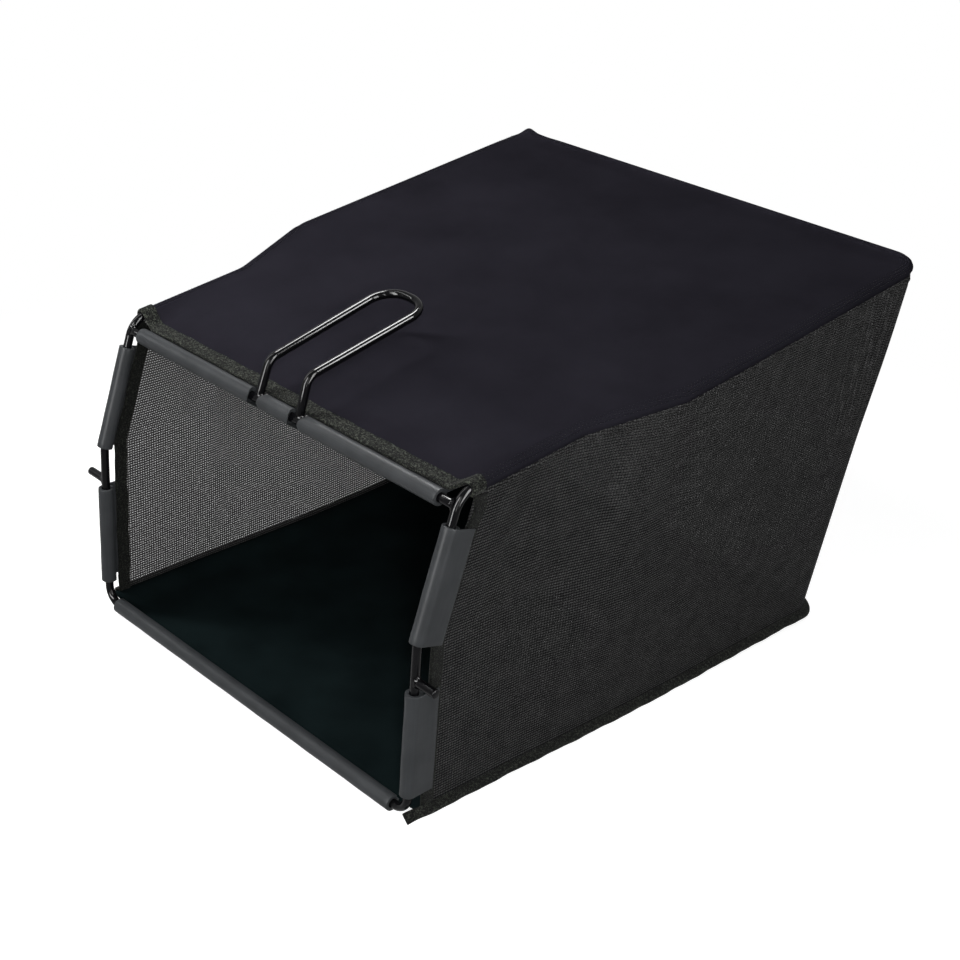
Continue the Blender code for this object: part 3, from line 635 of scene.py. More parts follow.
def wall_borders(count, rear_count):
    """Foot and head lines of the three walls, and the foot's level normals."""
    wire, foot, corner = wall_lines(count, rear_count)
    head = wire + level_normals(wire) * PANEL_OFFSET - (0, 0, HEAD_DROP)
    normals = level_normals(foot)
    foot[:, 2] = FLANGE_HEIGHT + SEAM_TILT + seam_lift(foot)
    last = len(foot) - 1
    spans = {"left": slice(0, corner + 1), "rear": slice(corner, last - corner + 1)}
    return {word: (foot[span], head[span], normals[span]) for word, span in spans.items()}


def coons(bottom, top, front, rear, levels):
    """Patch between four lines: the mean of bottom to top and front to rear by their shares, twice
    over, less the flat patch through the four corners."""
    up = levels[:, None, None]
    across = (travelled(bottom) / travelled(bottom)[-1])[None, :, None]
    ruled = (1 - up) * bottom + up * top + (1 - across) * front[:, None] + across * rear[:, None]
    low = (1 - across) * bottom[0] + across * bottom[-1]
    high = (1 - across) * top[0] + across * top[-1]
    return ruled - (1 - up) * low - up * high


WALL_LEVELS = np.concatenate([np.linspace(0, 0.94, 84), np.linspace(0.943, 1, 20)])


def fold(along, up, at, width, lean, height, low, high):
    """A ridge, or a valley where height is below nought: a bell across a slanting line, which
    rises from nought at the low share of the height and falls back to it at the high one."""
    across = bump((along - at - lean * (1 - up)) / width)
    middle = np.clip((up - low) / (high - low), 0, 1)
    return height * across * np.sin(math.pi * middle) ** 1.5


def seam_ridge(below, along, look):
    """The sewn allowance under the lid: a bell that stands out below the crease, with puckers."""
    ridge = look.ridge * bump((below - 0.0042) / 0.0026)
    pucker = look.pucker * np.sin(along * 2 * math.pi / PUCKER_PITCH + below * 300 + 0.8 * np.sin(along * 90))
    return ridge + pucker * bump((below - 0.003) / 0.005) - 0.0006 * bump((below - 0.0005) / 0.0012)


RIGHT_FOLDS = [
    # at, width, lean, height, low, high
    (0.062, 0.011, -0.012, -0.0011, 0.62, 1.06),
    (0.105, 0.015, -0.006, 0.0014, 0.55, 1.08),
    (0.140, 0.012, 0.010, -0.0012, 0.60, 1.05),
    (0.196, 0.020, 0.050, -0.0016, 0.45, 1.04),
    (0.236, 0.016, 0.060, 0.0013, 0.42, 1.04),
    (0.060, 0.030, 0.330, -0.0020, 0.02, 0.62),
    (0.030, 0.040, 0.200, 0.0012, 0.05, 0.70),
]
LEFT_FOLDS = [
    (0.080, 0.016, 0.010, 0.0012, 0.50, 1.05),
    (0.150, 0.018, -0.010, -0.0012, 0.45, 1.05),
    (0.240, 0.022, 0.040, 0.0013, 0.30, 1.02),
    (0.050, 0.035, 0.300, -0.0014, 0.05, 0.70),
]
REAR_FOLDS = [
    (0.09, 0.02, -0.03, 0.0012, 0.2, 1.05),
    (0.17, 0.03, 0.02, -0.0014, 0.2, 1.05),
    (0.26, 0.025, 0.03, 0.0013, 0.2, 1.05),
    (0.35, 0.02, 0.05, -0.0012, 0.2, 1.05),
]


def draped(bottom, top, folds, look):
    """Length along the head and depth below it for each point of a wall, and how far the cloth
    stands out there: a bow, as the squares of half a sine up and half a sine along, and the folds."""
    up = WALL_LEVELS[:, None]
    share = (travelled(bottom) / travelled(bottom)[-1])[None]
    along = travelled(top)[None]
    below = (1 - up) * np.linalg.norm(top - bottom, axis=-1)
    out = look.bow * np.sin(math.pi * up) ** 2 * np.sin(math.pi * share) ** 2
    for at, width, lean, height, low, high in folds:
        out = out + look.folds * fold(along, up, at, width, lean, height, low, high)
    return along, below, out


def side_wall(side, look, count=300):
    """Middle surface of a side wall above its flange: rows from the foot, columns to the rear."""
    bottom, top, normals = wall_borders(count, 200)["left"]
    front = upright_line(bottom[0, 2], top[0, 2], 400) - (PANEL_OFFSET, 0, 0)
    front[0], front[-1] = bottom[0], top[0]
    front = at_distance(front, WALL_LEVELS * travelled(front)[-1])
    rear = bottom[-1] + (top[-1] - bottom[-1]) * WALL_LEVELS[:, None]
    rows = coons(bottom, top, front, rear, WALL_LEVELS)
    up = WALL_LEVELS[:, None]
    along, below, out = draped(bottom, top, RIGHT_FOLDS if side > 0 else LEFT_FOLDS, look)
    length = along[0, -1]
    near_rear = smooth_step((along - length + 0.095) / 0.06)
    hang = 0.0011 * look.folds * np.sin((length - along) * 2 * math.pi / 0.0135 + 3 * up + side)
    out = out + hang * near_rear * smooth_step((up - 0.45) / 0.4)
    edges = smooth_step(along / 0.02) * smooth_step((length - along) / 0.012) * smooth_step(up / 0.06)
    ridge = seam_ridge(below, along, look) * smooth_step(along / 0.012)
    rows = rows + level_normals(top) * (out * edges * smooth_step(below / 0.012) + ridge)[..., None]
    return (rows, normals) if side < 0 else (mirrored(rows), mirrored(normals))


def rear_wall(look, rear_count=260):
    """Middle surface of the rear wall above its flange: rows from the foot, columns left to right."""
    bottom, top, normals = wall_borders(60, rear_count)["rear"]
    up = WALL_LEVELS[:, None]
    sides = [bottom[end] + (top[end] - bottom[end]) * up for end in (0, -1)]
    rows = coons(bottom, top, *sides, WALL_LEVELS)
    along, below, out = draped(bottom, top, REAR_FOLDS, look)
    edges = smooth_step(along / 0.02) * smooth_step((along[0, -1] - along) / 0.02) * smooth_step(up / 0.06)
    out = out * edges * smooth_step(below / 0.012) + seam_ridge(below, along, look)
    return rows + level_normals(top) * out[..., None], normals


def with_flange(rows, normals):
    """The wall with its foot turned out along the ground: rows on a quarter circle, then flat."""
    reach = FLANGE_REACH
    bend = 0.0016
    angles = np.linspace(0, math.pi / 2, 5)[:-1]
    out = np.concatenate([[reach, reach / 2], bend * (1 - np.sin(angles))])
    rise = np.concatenate([[0, 0], bend * (1 - np.cos(angles))]) - SEAM_TILT * out / reach
    foot = rows[0]
    flange = foot + normals * out[:, None, None] + rise[:, None, None] * (0, 0, 1)
    return np.concatenate([flange, rows[1:]])


def sheet_uv(points):
    """Each grid point's length along its own row, and up its own column."""
    across = np.linalg.norm(np.diff(points, axis=1), axis=-1)
    along = np.linalg.norm(np.diff(points, axis=0), axis=-1)
    u = np.pad(np.cumsum(across, 1), ((0, 0), (1, 0)))
    v = np.pad(np.cumsum(along, 0), ((1, 0), (0, 0)))
    return np.stack([u, v], -1)


def cloth(name, points, material, node, facing, thickness):
    """A sheet of cloth on a grid, thickened."""
    quads = grid(*points.shape[:2])[0]
    uv = sheet_uv(points).reshape(-1, 2)[quads]
    piece = make_piece(name, points.reshape(-1, 3), quads, material, node, uv, facing=facing, sharp=180)
    thickened(piece, thickness)


def u_section(closed_end, open_end, half, thickness, steps=8):
    """Section of a folded tape: a half circle round the fold and two legs of even thickness."""
    centre = (closed_end + half, 0)
    outer = arc(half, -math.pi / 2, -1.5 * math.pi, steps) + centre
    inner = arc(half - thickness, -1.5 * math.pi, -math.pi / 2, steps) + centre
    run = np.linspace(centre[0], open_end, 6)[1:, None]
    legs = [np.concatenate([run, np.full_like(run, height)], 1)
            for height in (half, half - thickness, thickness - half, -half)]
    return np.concatenate([outer, legs[0], legs[1][::-1], inner, legs[2], legs[3][::-1]])


def folded_tape(edge, way, outward, section, sway, rise):
    """Sections of a tape folded over an edge: the edge, plus the section's first figure along the
    cloth and its second one out of it. The tape sways along the cloth and lifts by slow sines."""
    along = travelled(edge)
    shift = sway * (np.sin(along * 130 + edge[0].sum() * 50) + 0.6 * np.sin(along * 290))
    lift = rise * np.sin(along * 170 + 1) * (section[:, :1] * 100)
    first = section[None, :, :1] + shift[:, None, None]
    second = section[None, :, 1:] + lift.T[..., None]
    return edge[:, None] + first * way[:, None] + second * outward[:, None]


def lid_front_edge(look):
    """Front edge of the lid from one crease over both sleeves to the other, and its outer side."""
    top = lid_surface(look)
    profile = sleeve_profile()
    left = top[0, 0] + np.stack([-profile[::-1, 0], profile[::-1, 0] * 0, profile[::-1, 1]], -1)
    line = np.concatenate([left, top[0], mirrored(left)[::-1]])
    line = resampled(line, 360)
    run = side_wire(STEP_START_DEPTH) - side_wire(TOP_DEPTH)
    way = np.broadcast_to(unit(run * (0, 1, 1)), line.shape)
    return line, way, unit(np.cross(tangents(line), way))


def front_column(rows, side):
    """Front edge of a side wall between the two heights of its tape, the way in and outwards. Near
    its head the left tape comes forward by a smooth step, and the right one goes back by a bell."""
    low, high = HEM_FOOT, CHANNEL_RADIUS + TOP_RISE - HEM_HEAD * 0.35
    heights = np.linspace(low, high, 150)
    edge, behind = (np.stack([np.interp(heights, rows[:, column, 2], rows[:, column, axis])
                              for axis in range(3)], -1) for column in (0, 8))
    way = unit(behind - edge)
    if side < 0:
        ahead = LEFT_TAPE_REACH * (1 - smooth_step((high - heights) / 0.012))
    else:
        ahead = -RIGHT_TAPE_RETREAT * bump((high - heights - 0.012) / 0.009)
    edge = edge - way * ahead[:, None]
    outward = np.array([side, 0, 0]) - way * way[:, :1] * side
    return edge, way, unit(outward)


def floor_sheet(look, columns=150):
    """The floor: rows across from the left seam to the right one, with slow low waves. By a smooth
    step it rises to the seam at its sides and its rear."""
    line = resampled(floor_line(CHANNEL_RADIUS)[:-1], 200)
    normals = level_normals(np.concatenate([line, mirrored(line)[::-1]]))[:200]
    left = line + normals * FLANGE_REACH
    share = np.linspace(0, 1, columns)[None, :, None]
    rows = left[:, None] + (mirrored(left) - left)[:, None] * share
    x, y = rows[..., 0], rows[..., 1]
    free = smooth_step((0.185 - np.abs(x)) / 0.05) * smooth_step((0.2 - y) / 0.05)
    waves = np.sin(x * 37 + y * 11) * np.sin(y * 29 - 0.7) + 0.5 * np.sin(x * 71 - y * 43)
    past_rear = y - (FLOOR_DEPTH - MIDDLE_DEPTH)
    near_side = smooth_step((np.abs(share[..., 0] - 0.5) - 0.42) / 0.06)
    edge = np.maximum(near_side, smooth_step(past_rear / 0.03 + 1))
    beyond = np.clip(np.maximum(np.abs(x) - np.abs(line[:, :1]), past_rear) / FLANGE_REACH, 0, 1)
    rows[..., 2] = FLOOR_HEIGHT + look.waves * 0.8 * free * (waves + 1)
    rows[..., 2] += seam_lift(line)[:, None] * edge + SEAM_TILT * (edge - beyond)
    return rows


def binding_line():
    """The floor seam right round, from the left front to the right front."""
    left = floor_line(LEFT_BINDING_START)[:-1]
    right = mirrored(floor_line(RIGHT_BINDING_START)[:-1])[::-1]
    return resampled(np.concatenate([left, right]), 700)


def stitch_row(path, outward, look):
    """Sewing thread along a path: for each stitch five rings whose radius and height over the cloth
    follow half a sine, so that its ends dip into the cloth."""
    total = travelled(path)[-1]
    count = max(1, int(total / look.pitch))
    share = np.linspace(0, 1, 5)
    distances = ((np.arange(count) + 0.12)[:, None] + share * look.length) * total / count
    centres = at_distance(path, distances.ravel()).reshape(count, 5, 3)
    normals = unit(at_distance(path, distances.ravel(), outward).reshape(count, 5, 3))
    way = unit(centres[:, -1:] - centres[:, :1])
    side = np.cross(normals, way)
    arch = np.sin(math.pi * share)[None, :, None]
    radius = look.thread / 2 * (0.45 + 0.55 * arch)
    centres = centres + normals * look.thread * 0.45 * arch
    angles = np.linspace(0, 2 * math.pi, 6, endpoint=False)[:, None]
    ring = np.cos(angles) * side[:, :, None] + np.sin(angles) * normals[:, :, None]
    return centres[:, :, None] + ring * radius[:, :, None]


def stitches(name, rows, material):
    """All the stitches of the given rows as one piece."""
    rings = np.concatenate(rows)
    count, stations, sides = rings.shape[:3]
    quads, row, column = grid(stations, sides, wrapped=True)
    first = np.arange(count)[:, None, None] * stations * sides
    uv = np.tile(np.stack([row * 0.0007, column * 0.0002], -1)[None], (count, 1, 1, 1))
    ends = np.arange(count)[:, None] * stations * sides + np.array([0, (stations - 1) * sides])
    caps = (ends.ravel()[:, None] + np.arange(sides)).tolist()
    return make_piece(name, rings.reshape(-1, 3), (quads + first).reshape(-1, 4), material,
                      corner_uv=uv.reshape(-1, 4, 2), caps=caps)


def add_node(tree, kind, inputs=None, **settings):
    """A shader node with its settings, and its inputs set to a value or linked to a socket."""
    node = tree.nodes.new("ShaderNode" + kind)
    for key, value in settings.items():
        setattr(node, key, value)
    for key, value in (inputs or {}).items():
        if isinstance(value, bpy.types.NodeSocket):
            tree.links.new(value, node.inputs[key])
        else:
            node.inputs[key].default_value = value
    return node


def new_material(name, roughness, specular=0.5, sheen=0.0):
    """A material, its node tree, and its shader with the given gloss."""
    material = bpy.data.materials.new(name)
    material.use_nodes = True
    tree = material.node_tree
    shader = tree.nodes["Principled BSDF"]
    shader.inputs["Roughness"].default_value = roughness
    shader.inputs["Specular IOR Level"].default_value = specular
    shader.inputs["Sheen Weight"].default_value = sheen
    return material, tree, shader


def paint(tree, shader, factor, first, last, low=0.0, high=1.0):
    """Base colour between two colours, by a factor that runs from low to high."""
    ramp = add_node(tree, "ValToRGB", {"Fac": factor})
    ramp.color_ramp.elements[0].position = low
    ramp.color_ramp.elements[1].position = high
    ramp.color_ramp.elements[0].color = (*first, 1)
    ramp.color_ramp.elements[1].color = (*last, 1)
    tree.links.new(ramp.outputs["Color"], shader.inputs["Base Color"])


def scaled(colour, factor):
    """Each channel of the colour times the factor."""
    return tuple(channel * factor for channel in colour)


def noise(tree, vector, scale, detail=2.0, roughness=0.5):
    """Factor of a cloudy pattern, finer as the scale rises."""
    return add_node(tree, "TexNoise", {"Vector": vector, "Scale": scale, "Detail": detail,
                                       "Roughness": roughness}).outputs["Fac"]


def math_node(tree, operation, first, second=0.0):
    """Result of a sum with one value or two."""
    return add_node(tree, "Math", {0: first, 1: second}, operation=operation).outputs[0]


def weighted(tree, *terms):
    """Sum of values, each times its own weight."""
    total, *others = [math_node(tree, "MULTIPLY", value, weight) for value, weight in terms]
    for other in others:
        total = math_node(tree, "ADD", total, other)
    return total


def relief(tree, shader, height, strength, distance):
    """Bump from a height on the shader's normal."""
    node = add_node(tree, "Bump", {"Height": height, "Strength": strength, "Distance": distance})
    tree.links.new(node.outputs["Normal"], shader.inputs["Normal"])


def stretched(tree, across, along):
    """The piece's own UV in metres, scaled along and across."""
    uv = add_node(tree, "UVMap", uv_map="UVMap").outputs["UV"]
    return add_node(tree, "Mapping", {"Vector": uv, "Scale": (along, across, 1)}).outputs["Vector"]


def object_place(tree):
    """Place on the piece, in metres."""
    return add_node(tree, "TexCoord").outputs["Object"]


def wire_finish(look):
    """Gloss powder coat: faint orange peel, and a little lighter and darker in places."""
    material, tree, shader = new_material("powder_coated_wire", look.roughness, look.shine)
    here = object_place(tree)
    peel = noise(tree, here, 900, 2)
    dull = noise(tree, here, 60, 3)
    paint(tree, shader, dull, scaled(look.colour, 0.8), scaled(look.colour, 1.3))
    relief(tree, shader, peel, 0.12, 0.0002)
    return material


def channel_finish(look):
    """Extruded plastic: fine draw lines along the channel and faint cloudy patches."""
    material, tree, shader = new_material("extruded_channel", look.roughness, look.shine)
    lines = noise(tree, stretched(tree, 1500, 25), 1, 3, 0.6)
    clouds = noise(tree, object_place(tree), 45, 3)
    both = weighted(tree, (lines, 0.4), (clouds, 0.6))
    paint(tree, shader, both, scaled(look.colour, 0.75), scaled(look.colour, 1.25), 0.3, 0.7)
    relief(tree, shader, both, 0.25, 0.0003)
    return material


def sine(tree, value, period):
    """Sine of a length in metres, once round in each period."""
    return math_node(tree, "SINE", math_node(tree, "MULTIPLY", value, 2 * math.pi / period))


def cloth_uv(tree):
    """Length across and along the piece's own UV, in metres."""
    parts = add_node(tree, "SeparateXYZ", {"Vector": add_node(tree, "UVMap", uv_map="UVMap").outputs["UV"]})
    return parts.outputs["X"], parts.outputs["Y"]


def lid_finish(look):
    """Close plain weave with a thin coat: crossed sines for the threads and soft cloudy shade."""
    material, tree, shader = new_material("coated_lid_cloth", look.roughness, look.shine, look.sheen)
    shader.inputs["Sheen Roughness"].default_value = 0.5
    u, v = cloth_uv(tree)
    weave = math_node(tree, "MULTIPLY", sine(tree, u, look.thread), sine(tree, v, look.thread))
    clouds = noise(tree, object_place(tree), 14, 4, 0.6)
    grain = noise(tree, object_place(tree), 1400, 2)
    shade = weighted(tree, (weave, 0.16), (clouds, 0.7), (grain, 0.3))
    paint(tree, shader, shade, scaled(look.colour, 0.7), scaled(look.colour, 1.3), 0.2, 0.8)
    relief(tree, shader, math_node(tree, "ADD", weave, grain), 0.35, 0.00012)
    return material


def wave_between(tree, value, low, high):
    """0 at the low value, 1 at the high one and a smooth step in between."""
    return add_node(tree, "MapRange", {"Value": value, "From Min": low, "From Max": high},
                    interpolation_type="SMOOTHSTEP").outputs["Result"]


def wall_finish(look):
    """Open weave: between the threads, on a plain lattice, the cloth lets some of what is behind show
    through. The threads' crowns sit between the openings and carry a painted sheen, stronger where the fibre
    noise is high."""
    material, tree, shader = new_material("open_weave_cloth", look.roughness, look.shine, look.sheen)
    uv = add_node(tree, "UVMap", uv_map="UVMap").outputs["UV"]
    u, v = cloth_uv(tree)
    post, row = sine(tree, u, look.slot_pitch), sine(tree, v, look.row_pitch)
    mesh = weighted(tree, (post, 0.38), (row, 0.62))
    opening = wave_between(tree, mesh, -0.15, 0.78)
    # crown marks the threads' crowns: it drives their bump, and where the painted sheen goes
    crown = wave_between(tree, math_node(tree, "MULTIPLY", mesh, -1.0), -0.1, 0.8)
    lively = noise(tree, uv, 700, 3, 0.7)
    warp = noise(tree, uv, 60, 2)
    shade = math_node(tree, "MULTIPLY", crown, wave_between(tree, lively, 0.30, 0.72))
    shade = weighted(tree, (shade, 0.75), (warp, 0.25))
    # Painted sheen: the crowns run up to the light crown colour; the warp noise adds tone that differs at
    # random
    paint(tree, shader, shade, scaled(look.colour, 0.6), look.crown_sheen_colour, 0.05, 0.85)
    relief(tree, shader, math_node(tree, "ADD", crown, lively), 0.6, 0.0003)
    closed = math_node(tree, "SUBTRACT", 1.0, math_node(tree, "MULTIPLY", opening, look.openness))
    mix = add_node(tree, "MixShader", {"Fac": closed,
                                       1: add_node(tree, "BsdfTransparent").outputs["BSDF"],
                                       2: shader.outputs["BSDF"]})
    tree.links.new(mix.outputs["Shader"], tree.nodes["Material Output"].inputs["Surface"])
    return material


def floor_finish(look):
    """Close weave of the floor: darker than the walls, with a coat that hardly shines."""
    material, tree, shader = new_material("floor_cloth", 0.9, 0.002)
    u, v = cloth_uv(tree)
    weave = math_node(tree, "MULTIPLY", sine(tree, u, 0.0011), sine(tree, v, 0.0011))
    clouds = noise(tree, object_place(tree), 20, 4)
    shade = weighted(tree, (weave, 0.2), (clouds, 1.0))
    paint(tree, shader, shade, scaled(look.floor_colour, 0.6), scaled(look.floor_colour, 1.4), 0.2, 0.8)
    relief(tree, shader, weave, 0.3, 0.00015)
    return material


def tape_finish(look, name, fleck_colour):
    """Fuzzy woven tape: fine ribs across it, with light flecks of fibre."""
    material, tree, shader = new_material(name, look.roughness, 0.008, look.sheen)
    here = object_place(tree)
    flecks = noise(tree, here, 850, 2, 0.6)
    fuzz = noise(tree, here, 420, 3, 0.7)
    ribs = sine(tree, cloth_uv(tree)[0], 0.0014)
    shade = weighted(tree, (flecks, 0.6), (fuzz, 0.4))
    paint(tree, shader, shade, look.colour, fleck_colour, 0.49, 0.66)
    relief(tree, shader, weighted(tree, (shade, 5.0), (ribs, 0.3)), 0.8, 0.0003)
    return material


def thread_finish(look):
    """Twisted sewing thread: slanting plies along each stitch."""
    material, tree, shader = new_material("sewing_thread", 0.55, 0.1, 0.05)
    plies = add_node(tree, "TexWave", {"Vector": object_place(tree), "Scale": 900.0, "Distortion": 1.0})
    paint(tree, shader, plies.outputs["Fac"], scaled(look.thread_colour, 0.5), look.thread_colour)
    relief(tree, shader, plies.outputs["Fac"], 0.4, 0.0001)
    return material


def colour_property(name, description, default):
    """A colour of three linear channels."""
    return FloatVectorProperty(name=name, description=description, subtype="COLOR", size=3, min=0, max=1,
                               default=default)


def length_property(name, description, default):
    """A small length in metres."""
    return FloatProperty(name=name, description=description, unit="LENGTH", subtype="DISTANCE", precision=5,
                         min=0, max=0.1, default=default)


def share_property(name, description, default, most=1.0):
    """A share from nought to the most that makes sense."""
    return FloatProperty(name=name, description=description, subtype="FACTOR", min=0, max=most,
                         default=default)


def power_property(name, description, default):
    """A lamp's power in watts."""
    return FloatProperty(name=name, description=description, unit="POWER", min=0, default=default)


class WireLook(bpy.types.PropertyGroup):
    """Coat of the wires and size of their welds."""
    colour: colour_property("Coat", "Colour of the powder coat", (0.0025, 0.0025, 0.003))
    roughness: share_property("Roughness", "Roughness of the powder coat", 0.09)
    shine: share_property("Shine", "Strength of the coat's reflections", 0.055)
    weld: length_property("Weld", "Width of the weld beads", 0.0021)
    rim: length_property("Rim", "Rounding of the wires' cut ends", 0.0007)


class ChannelLook(bpy.types.PropertyGroup):
    """Plastic of the push-on channels."""
    colour: colour_property("Plastic", "Colour of the plastic", (0.028, 0.030, 0.032))
    roughness: share_property("Roughness", "Roughness of the plastic", 0.40)
    shine: share_property("Shine", "Strength of the plastic's reflections", 0.036)
    rim: length_property("Rim", "Rounding of the cut ends", 0.0004)
    wave: length_property("Wave", "Depth of the waves left by cutting and fitting", 0.00016)


class LidLook(bpy.types.PropertyGroup):
    """Cloth of the lid."""
    colour: colour_property("Cloth", "Colour of the coated cloth", (0.0150, 0.0142, 0.0190))
    roughness: share_property("Roughness", "Roughness of the cloth", 0.62)
    shine: share_property("Shine", "Strength of the cloth's reflections", 0.0)
    sheen: share_property("Sheen", "Strength of the fibres' sheen", 0.0)
    thread: length_property("Weave", "Pitch of the threads", 0.0011)
    thickness: length_property("Thickness", "Thickness of the cloth", 0.0006)
    sag: length_property("Sag", "Depth that the lid sags to in its middle", 0.005)
    waves: length_property("Waves", "Height of the slow waves", 0.0009)
    pinch: length_property("Pinch", "Depth of the hollow inside the wire", 0.0010)
    groove: length_property("Groove", "Depth of the stitch rows", 0.00075)
    pucker: length_property("Pucker", "Depth of the puckers at the crease", 0.0004)
    nub: length_property("Nub", "Length of the drawn-out cloth at the left rear corner", 0.0062)


class WallLook(bpy.types.PropertyGroup):
    """Cloth of the walls and the floor."""
    colour: colour_property("Cloth", "Colour of the threads", (0.0125, 0.0125, 0.0130))
    # Light colour of the painted sheen on the threads' crowns
    crown_sheen_colour: colour_property("Crowns", "Colour of the threads' crowns", (0.074, 0.074, 0.073))
    floor_colour: colour_property("Floor", "Colour of the floor's cloth", (0.0046, 0.0080, 0.0085))
    roughness: share_property("Roughness", "Roughness of the cloth", 0.6)
    shine: share_property("Shine", "Strength of the cloth's reflections", 0.005)
    sheen: share_property("Sheen", "Strength of the fibres' sheen", 0.02)
    slot_pitch: length_property("Slot pitch", "Pitch of the weave's openings along a row", 0.0025)
    row_pitch: length_property("Row pitch", "Pitch of the weave's rows", 0.0023)
    openness: share_property("Openness", "Share of what is behind that an opening lets through", 0.57)
    thickness: length_property("Thickness", "Thickness of the cloth", 0.0004)
    bow: length_property("Bow", "Depth that the walls bow out to", 0.003)
    folds: FloatProperty(name="Folds", description="Depth of the folds against their usual depth", min=0,
                         max=3, default=1.8)
    ridge: length_property("Ridge", "Height of the seam allowance below the lid", 0.0011)
    pucker: length_property("Pucker", "Depth of the puckers at the seam", 0.0004)
    waves: length_property("Waves", "Height of the floor's slow waves", 0.0010)


class TapeLook(bpy.types.PropertyGroup):
    """Woven tapes and sewing thread."""
    colour: colour_property("Tape", "Colour of the tape", (0.0050, 0.0053, 0.0050))
    fleck_colour: colour_property("Flecks", "Colour of the tape's light fibres", (0.075, 0.082, 0.066))
    thread_colour: colour_property("Thread", "Colour of the sewing thread", (0.060, 0.060, 0.062))
    roughness: share_property("Roughness", "Roughness of the tape", 0.85)
    sheen: share_property("Sheen", "Strength of the fibres' sheen", 0.04)
    sway: length_property("Sway", "Sideways wander of the tape", 0.0003)
    thread: length_property("Thread thickness", "Thickness of the sewing thread", 0.0005)
    pitch: length_property("Stitch pitch", "Distance from stitch to stitch", 0.0034)
    length: length_property("Stitch length", "Length of each stitch", 0.0025)


class StageLook(bpy.types.PropertyGroup):
    """Light, floor and camera."""
    key: power_property("Key", "Power of the strip at the upper left", 9.8)
    front: power_property("Front", "Power of the two strips before the mouth", 4)
    side: power_property("Side", "Power of the strip at the right", 20)
    rear: power_property("Rear", "Power of the strip behind the bag", 2)
    gloss: power_property("Gloss", "Power of the largest soft boxes that only reflections show", 240)
    sky: share_property("Sky", "Strength of the even light from all round", 0.16, most=4)
    floor_glow: share_property("Floor glow", "Light that the floor adds of its own", 0.80)
    lens: FloatProperty(name="Lens", description="Focal length of the camera", unit="CAMERA", min=10,
                        default=61.18)


LOOKS = {"wire": WireLook, "channel": ChannelLook, "lid": LidLook, "wall": WallLook, "tape": TapeLook,
         "stage": StageLook}


def look_of(context, name):
    """The scene's own values for one group of looks."""
    return getattr(context.scene, "grass_bag_" + name)


class GRASSBAG_OT_wires(bpy.types.Operator):
    """Bend the frame, the cross rod, the handle and the pegs, and lay their welds"""
    bl_idname = "grassbag.wires"
    bl_label = "Wires"

    def execute(self, context):
        look = look_of(context, "wire")
        finish = wire_finish(look)
        corners = np.concatenate([frame_corners(-1), frame_corners(1)[::-1]])
        loop = rounded_path(corners, FRAME_BENDS + FRAME_BENDS[::-1])
        sections = circles(loop, WIRE_RADIUS, closed=True)
        swept("wire_loop", sections, finish, "frame_rod", closed=True)
        depth, rise = cross_rod_centre()
        reach = MOUTH_HALF - WIRE_RADIUS - GAP
        cross_rod = place(np.linspace(-reach, reach, 60), depth, rise)
        rod("wire_cross_rod", cross_rod, finish, "top_cross_rod", look.rim)
        rod("wire_handle", handle_path(), finish, "handle", look.rim)
        beads = []
        for side, name in ((-1, "left_peg"), (1, "right_peg")):
            reaches = np.linspace(MOUTH_HALF + WIRE_RADIUS + GAP, MOUTH_HALF + PEG_REACH, 12)
            rod("wire_" + name, place(side * reaches, 0, PEG_RISE), finish, name, look.rim)
            outward, up = np.array([side, 0.0, 0.0]), np.array([0, 0, 1.0])
            beads.append(weld_bead(place(side * MOUTH_HALF, 0, PEG_RISE), outward, up, look.weld))
            upright = unit(frame_corners(side)[2] - frame_corners(side)[1])
            beads.append(weld_bead(place(side * MOUTH_HALF, depth, rise), -outward, upright, look.weld))
            seat, foot = handle_leg(side)[:2]
            beads.append(weld_bead(seat, unit(foot - seat), np.array([1.0, 0, 0]), look.weld))
        for number, bead in enumerate(beads):
            swept(f"weld_{number + 1}", bead.transpose(1, 0, 2), finish)
        return {"FINISHED"}


def end_notches(piece):
    """Two round notches for the handle's legs, cut from the seat of each leg towards its knee."""
    for side in (-1, 1):
        seat, foot = handle_leg(side)[:2]
        way = Vector(unit(foot - seat))
        cutter = bmesh.new()
        turn = way.to_track_quat("Z", "X").to_matrix().to_4x4()
        centre = Vector(seat) + way * (NOTCH_FLOOR + NOTCH_LENGTH / 2)
        bmesh.ops.create_cone(cutter, segments=48, cap_ends=True, radius1=NOTCH_RADIUS, radius2=NOTCH_RADIUS,
                              depth=NOTCH_LENGTH, matrix=Matrix.Translation(centre) @ turn)
        mesh = bpy.data.meshes.new("notch_cutter")
        cutter.to_mesh(mesh)
        cutter.free()
        tool = bpy.data.objects.new("notch_cutter", mesh)
        bpy.context.scene.collection.objects.link(tool)
        cut = piece.modifiers.new("notch", "BOOLEAN")
        cut.object = tool
        cut.solver = "EXACT"
        evaluated = piece.evaluated_get(bpy.context.evaluated_depsgraph_get())
        result = bpy.data.meshes.new_from_object(evaluated)
        piece.modifiers.remove(cut)
        old = piece.data
        result.name = old.name
        piece.data = result
        bpy.data.meshes.remove(old)
        bpy.data.objects.remove(tool)
        bpy.data.meshes.remove(mesh)


class GRASSBAG_OT_channels(bpy.types.Operator):
    """Push the six channels on the wire"""
    bl_idname = "grassbag.channels"
    bl_label = "Channels"

    def execute(self, context):
        look = look_of(context, "channel")
        finish = channel_finish(look)
        for name, node, foot, head, tail_way, outward, height in channel_places():
            sections = channel_sections(foot, head, tail_way, outward, height, look.rim, look.wave)
            piece = swept("channel_" + name, sections, finish, node)
        end_notches(piece)
        return {"FINISHED"}


